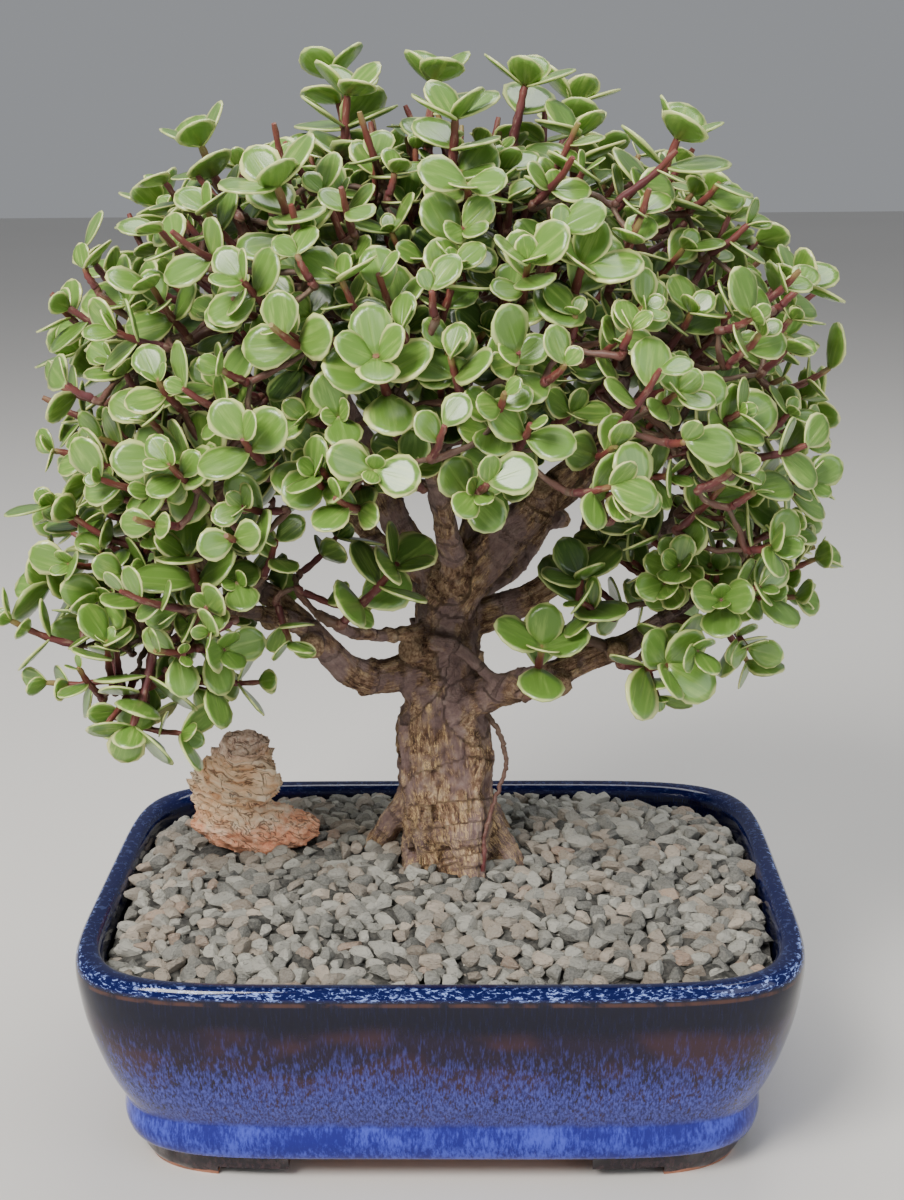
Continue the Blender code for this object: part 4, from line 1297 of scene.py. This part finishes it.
def rock_finish():
    """Orange-red and crystalline below, cream and layered above, greyer at the top."""
    f = Finish("red_and_cream_stone", Specular_IOR_Level=0.4)
    p = f.place()
    x, y, z = f.parts(p)
    layers = x * 0.36 - y * 0.11 + z * 0.92
    bend = f.noise(p, 0.09, detail=3.0)
    course = layers + bend * 9
    banding = f.noise(f.join(course * 0.55, x * 0.03, y * 0.03), 1, detail=4.0, roughness=0.6)
    coarse = f.noise(p, 0.16, detail=5.0, roughness=0.65)
    grit = f.noise(p, 0.9, detail=5.0, roughness=0.75)
    cream = f.ramp(banding * 0.6 + coarse * 0.4, [
        (0.32, (0.50, 0.25, 0.14)), (0.42, (0.80, 0.50, 0.29)),
        (0.52, (0.93, 0.70, 0.47)), (0.66, (0.93, 0.80, 0.64)),
    ])
    red = f.ramp(coarse * 0.6 + grit * 0.4, [
        (0.33, (0.42, 0.15, 0.10)), (0.44, (0.78, 0.32, 0.18)),
        (0.54, (0.92, 0.50, 0.31)), (0.68, (0.93, 0.72, 0.57)),
    ])
    grey = f.ramp(grit, [
        (0.36, (0.42, 0.25, 0.20)), (0.50, (0.76, 0.52, 0.40)), (0.66, (0.84, 0.72, 0.62)),
    ])
    height = z + (coarse - 0.5) * 10
    colour = f.mix(f.ease(height, RIM_Z + 8, RIM_Z + 13), red, cream)
    colour = f.mix(f.ease(height, RIM_Z + 27, RIM_Z + 33) * 0.8, colour, grey)
    seam = abs(f.noise(f.join(course * 0.42, x * 0.05, y * 0.05), 1, detail=3.0, roughness=0.6) - 0.5)
    split = abs(f.noise(f.join(x * 0.17, y * 0.17, course * 0.05), 1, detail=3.0, roughness=0.6) - 0.5)
    gap = f.ease(seam, 0.022, 0.004).most(f.ease(split, 0.011, 0.002) * f.ease(coarse, 0.48, 0.56))
    colour = f.mix(gap * 0.7, colour, (0.16, 0.075, 0.05))
    height = banding * 0.8 + grit * 0.25 - gap * 0.8
    return f.set(Base_Color=colour, Roughness=0.85, Normal=f.bump(height, 0.0012, 0.7))


def bark_finish():
    """Mottled brown and purple-grey bark, golden where it peels, with pale wood where a limb was cut."""
    f = Finish("peeling_bark", Specular_IOR_Level=0.35)
    grain = f.attribute("grain")
    p = f.place()
    _, _, z = f.parts(p)
    gx, gy, gz = f.parts(grain)
    tone = f.attribute("tone")
    _, _, thick = f.parts(tone)
    cut_end = f.attribute("tone", out=3)
    fibre = f.noise(grain, (0.9, 0.9, 0.10), detail=5.0, roughness=0.7, distortion=0.5)
    thread = f.noise(grain, (1.9, 1.9, 0.65), detail=4.0, roughness=0.7, distortion=1.6)
    patch = f.noise(p, (0.085, 0.085, 0.055), detail=4.0, roughness=0.6)
    mottle = f.noise(p, (0.35, 0.35, 0.3), detail=4.0, roughness=0.65)
    base = f.ramp(mottle * 0.5 + fibre * 0.5, [
        (0.36, (0.035, 0.016, 0.012)), (0.44, (0.15, 0.075, 0.045)),
        (0.52, (0.34, 0.205, 0.125)), (0.64, (0.60, 0.46, 0.34)),
    ])
    purple = f.mix(mottle, (0.16, 0.085, 0.085), (0.46, 0.34, 0.32))
    base = f.mix(f.ease(patch, 0.56, 0.44) * 0.8, base, purple)
    low = f.ease(z, RIM_Z + 34, RIM_Z + 2)
    loose = f.ease(thread * 0.55 + fibre * 0.45 + low * 0.03, 0.50, 0.60)
    peel = loose * f.ease(patch + low * 0.13, 0.44, 0.56)
    gold = f.mix(f.ease(thread, 0.35, 0.65), (0.55, 0.29, 0.09), (0.95, 0.70, 0.36))
    colour = f.mix(peel * (0.35 + 0.65 * thick), base, gold)
    rings = f.node("ShaderNodeTexWave", {"wave_type": "BANDS", "bands_direction": "Z"}, {
        "Vector": grain, "Scale": 0.035, "Distortion": 2.5, "Detail": 2.0})
    scar = f.ease(rings, 0.10, 0.0) * (1 - thick)
    colour = f.mix(scar * 0.6, colour, (0.05, 0.028, 0.022))
    pith = f.ease(f.noise(p, 1.2), 0.35, 0.65)
    wood = f.mix(pith, (0.26, 0.15, 0.085), (0.52, 0.36, 0.22))
    colour = f.mix(cut_end, colour, wood)
    height = fibre * 0.7 + thread * 0.45 + mottle * 0.3 - scar * 0.4
    return f.set(Base_Color=colour, Roughness=0.55 + fibre * 0.35, Normal=f.bump(height, 0.0018, 0.95))


def twig_finish(name, old, new, tip):
    """Young wood: grey-brown where it is old, wine red where it is fresh."""
    f = Finish(name, Specular_IOR_Level=0.45)
    grain = f.attribute("grain")
    share, vary, _ = f.parts(f.attribute("tone"))
    fibre = f.noise(grain, (0.9, 0.9, 0.25), detail=4.0, roughness=0.65)
    colour = f.mix(f.ease(share + (vary - 0.5) * 0.5, 0.15, 0.8), old, new)
    colour = f.mix(f.ease(share, 0.72, 1.0) * f.ease(vary, 0.3, 0.7), colour, tip)
    colour = f.mix(f.ease(fibre, 0.52, 0.68) * 0.4, colour, (0.42, 0.30, 0.20))
    return f.set(Base_Color=colour, Roughness=0.38 + fibre * 0.3, Normal=f.bump(fibre, 0.0004, 0.5))


def leaf_finish():
    """Glossy leaf, mid green with paler streaks and a cream margin, brighter where it is young, with
    painted shade that darkens it and mutes its margin deep in the crown.
    """
    f = Finish("variegated_leaf", Specular_IOR_Level=0.5, Coat_Roughness=0.18, Coat_IOR=1.45)
    uv = f.node("ShaderNodeUVMap", {"uv_map": "UVMap"})
    u, v, _ = f.parts(uv)
    seed, fresh, depth = f.parts(f.attribute("tone"))
    reach = ((v ** LEAF_EGG) * math.pi).sine() ** LEAF_FULLNESS
    across = abs(u * 2 - 1) / (reach + 0.02)
    streak_at = f.join(u * 7.0 + seed * 41.0, v * 0.9 + seed * 13.0, seed * 29.0)
    streak = f.noise(streak_at, 1, detail=4.0, roughness=0.65, distortion=0.35)
    blotch = f.noise(f.join(u * 2.2 + seed * 23.0, v * 1.6, seed * 7.0), 1, detail=2.0)
    # painted shade: leaves deeper in the crown get the darker green, young ones the lighter
    lit = f.ease(depth * 0.75 + fresh * 0.35, 0.15, 0.95)
    green = f.mix(lit, (0.016, 0.052, 0.009), (0.135, 0.265, 0.042))
    light = f.mix(fresh, (0.215, 0.36, 0.080), (0.38, 0.52, 0.115))
    colour = f.mix(f.ease(streak, 0.46, 0.66) * (0.20 + 0.55 * f.ease(blotch, 0.35, 0.65)), green, light)
    shape = across * 0.98 + (streak - 0.5) * 0.10
    edge = 0.66 + seed * 0.16
    rim = f.ease(shape, edge, edge + 0.16)
    tip = f.ease(v + (blotch - 0.5) * 0.04, 0.91, 0.97)
    foot = f.ease(v, 0.14, 0.02) * 0.6
    margin = rim.most(tip).most(foot)
    cream = f.mix(fresh, (0.48, 0.58, 0.20), (0.80, 0.80, 0.33))
    # painted shade: the cream margin is muted on leaves deep in the crown
    strength = f.ease(depth + fresh * 0.4 + seed * 0.3, 0.15, 0.9)
    colour = f.mix(margin * strength * 0.92, colour, cream)
    midrib = f.ease(across, 0.11, 0.03) * f.ease(v, 0.85, 0.3)
    colour = f.mix(midrib * 0.25, colour, light)
    height = streak * 0.5 - midrib * 0.5
    return f.set(Base_Color=colour, Roughness=0.28 + streak * 0.12, Coat_Weight=0.36 + 0.1 * fresh,
                 Normal=f.bump(height, 0.0003, 0.5))


def plain_finish(name, dark, light, scale, roughness):
    """A finely mottled finish for a plain piece."""
    f = Finish(name)
    p = f.place()
    speck = f.noise(p, scale, detail=5.0, roughness=0.7)
    colour = f.mix(f.ease(speck, 0.35, 0.65), dark, light)
    return f.set(Base_Color=colour, Roughness=roughness + speck * 0.1, Normal=f.bump(speck, 0.0006, 0.6))


def repaint(node_name, finish):
    """A CAD node that stays as it is gets a finish of its own."""
    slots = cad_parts[node_name].material_slots
    for slot in slots:
        slot.material = finish


# The studio


def studio():
    floor = primitive("floor", bpy.ops.mesh.primitive_plane_add, size=FLOOR_SIZE)
    cover = Finish("pale_floor", Roughness=0.75)
    coords = cover.node("ShaderNodeTexCoord", out=3)
    cloud = cover.noise(coords, 1.3, detail=2.0)
    pale = cover.mix(cloud, (0.62, 0.60, 0.57), (0.68, 0.66, 0.63))
    floor.data.materials.append(cover.set(Base_Color=pale))
    world = bpy.data.worlds.new("soft_sky")
    world.use_nodes = True
    world.node_tree.nodes["Background"].inputs[0].default_value = SKY
    world.node_tree.nodes["Background"].inputs[1].default_value = SKY_STRENGTH
    bpy.context.scene.world = world
    for name, (at, size, power, colour) in LAMPS.items():
        light = bpy.data.lights.new(name, "AREA")
        light.shape = "SQUARE"
        light.size = size
        light.energy = power
        light.color = colour
        lamp = bpy.data.objects.new(name, light)
        bpy.context.scene.collection.objects.link(lamp)
        lamp.location = at
        lamp.rotation_euler = (LAMPS_AIM - Vector(at)).to_track_quat("-Z", "Y").to_euler()


def photo_camera():
    pitch, yaw, roll = CAMERA_PITCH, CAMERA_YAW, CAMERA_ROLL
    ahead = Vector((math.sin(yaw) * math.cos(pitch), math.cos(yaw) * math.cos(pitch), -math.sin(pitch)))
    right = Vector((math.cos(yaw), -math.sin(yaw), 0))
    up = right.cross(ahead)
    side = right * math.cos(roll) + up * math.sin(roll)
    top = up * math.cos(roll) - right * math.sin(roll)
    camera = bpy.data.cameras.new("photo_camera")
    camera.sensor_width = SENSOR
    camera.lens = FOCAL_PIXELS / IMAGE_HEIGHT * SENSOR
    camera.clip_start = 0.01
    made = bpy.data.objects.new("photo_camera", camera)
    bpy.context.scene.collection.objects.link(made)
    turn = Matrix((side, top, -ahead)).transposed().to_4x4()
    made.matrix_world = Matrix.Translation(TO_FRAME @ CAMERA_AT) @ turn
    bpy.context.scene.camera = made


def dress_pot():
    settle(make_pot_body(), glaze_finish(), ["pot"])
    settle(make_pot_feet(), foot_finish(), ["pot"])
    repaint("soil", plain_finish("growing_medium", (0.02, 0.013, 0.010), (0.09, 0.06, 0.04), 0.6, 0.85))
    screen = plain_finish("black_mesh", (0.010, 0.010, 0.011), (0.022, 0.022, 0.024), 1.5, 0.4)
    repaint("drain_screen_left", screen)
    repaint("drain_screen_right", screen)


def bed_blockers():
    """Balls round the trunk, the roots and the ornament stone, where no loose stone lies."""
    blockers = [(vec(p[:3]), p[3] * 0.9) for p in TRUNK[1:4]]
    for points in ROOTS:
        path, radii = fine(*rows_of(points), 4)
        blockers += [(p, r * 0.8) for p, r in zip(path, radii)]
    centre, size, _, _ = ROCK_LUMPS[0]
    return blockers + [(Vector(centre) + Vector((dx, 0, -1)), size[1] * 0.75) for dx in (-9, 0, 9)]


def dress_bed():
    bed = plain_finish("grit_between_stones", (0.02, 0.02, 0.018), (0.10, 0.095, 0.085), 0.5, 0.85)
    repaint("gravel", bed)
    for stones, (name, *colours) in zip(make_gravel_stones(bed_blockers()), STONE_COLOURS):
        settle(stones, gravel_finish(name, *colours))
    settle(make_rock(), rock_finish(), ["ornament_stone"])


def dress_wood(limbs, twigs, fill_twigs, sprays, shoots):
    settle(make_wood_mass(limbs), bark_finish(), ["trunk_and_branches"])
    old_twig = twig_finish("old_twig", *OLD_TWIG)
    hanging = fine([vec(p) for p in THIN_ROOT], THIN_ROOT_RADII, 3, 0.6, 7)
    main_twigs = make_jointed("main_twigs", twigs + [hanging], **TWIG_JOINTS)
    settle(main_twigs, old_twig, ["trunk_and_branches"])
    settle(make_jointed("fine_twigs", fill_twigs, **TWIG_JOINTS), old_twig)
    fresh_stem = twig_finish("fresh_stem", *FRESH_STEM)
    for name, group in (("spray_stems", sprays), ("shoot_stems", shoots)):
        stems = [(spray.path, spray.radii) for spray in group]
        settle(make_jointed(name, stems, **STEM_JOINTS), fresh_stem)


def dress_leaves(sprays, shoots):
    """Each spray's leaves replace their node; the short shoots' leaves make one piece on each side."""
    leaf_model = model_leaf()
    shape = mesh_arrays(leaf_model)
    bpy.data.objects.remove(leaf_model)
    rng = random.Random(LEAF_SEED)
    leaf_green = leaf_finish()
    for spray in sprays:
        rows = leaf_rows(spray.leaves, shape, rng, SPRAY_YOUTH, crown_depth)
        settle(copies(f"{spray.name}_leaves", rows), leaf_green, [spray.name])
    sides = {}
    for shoot in shoots:
        off = shoot.path[0] - CROWN_CENTRE
        quarter = int(((math.degrees(math.atan2(off.y, off.x)) + 45) % 360) // 90)
        sides.setdefault(("right", "back", "left", "front")[quarter], []).append(shoot)
    for side, group in sides.items():
        rows = []
        for shoot in group:
            rows += leaf_rows(shoot.leaves, shape, rng, SHOOT_YOUTH, crown_depth)
        settle(copies(f"{side}_shoot_leaves", rows), leaf_green)


def main():
    limbs, twigs, sprays, crowd = grow_tree()
    shoots, fill_twigs = fill_crown(limbs, twigs, crowd)
    dress_pot()
    dress_bed()
    dress_wood(limbs, twigs, fill_twigs, sprays, shoots)
    dress_leaves(sprays, shoots)
    studio()
    photo_camera()
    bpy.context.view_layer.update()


main()
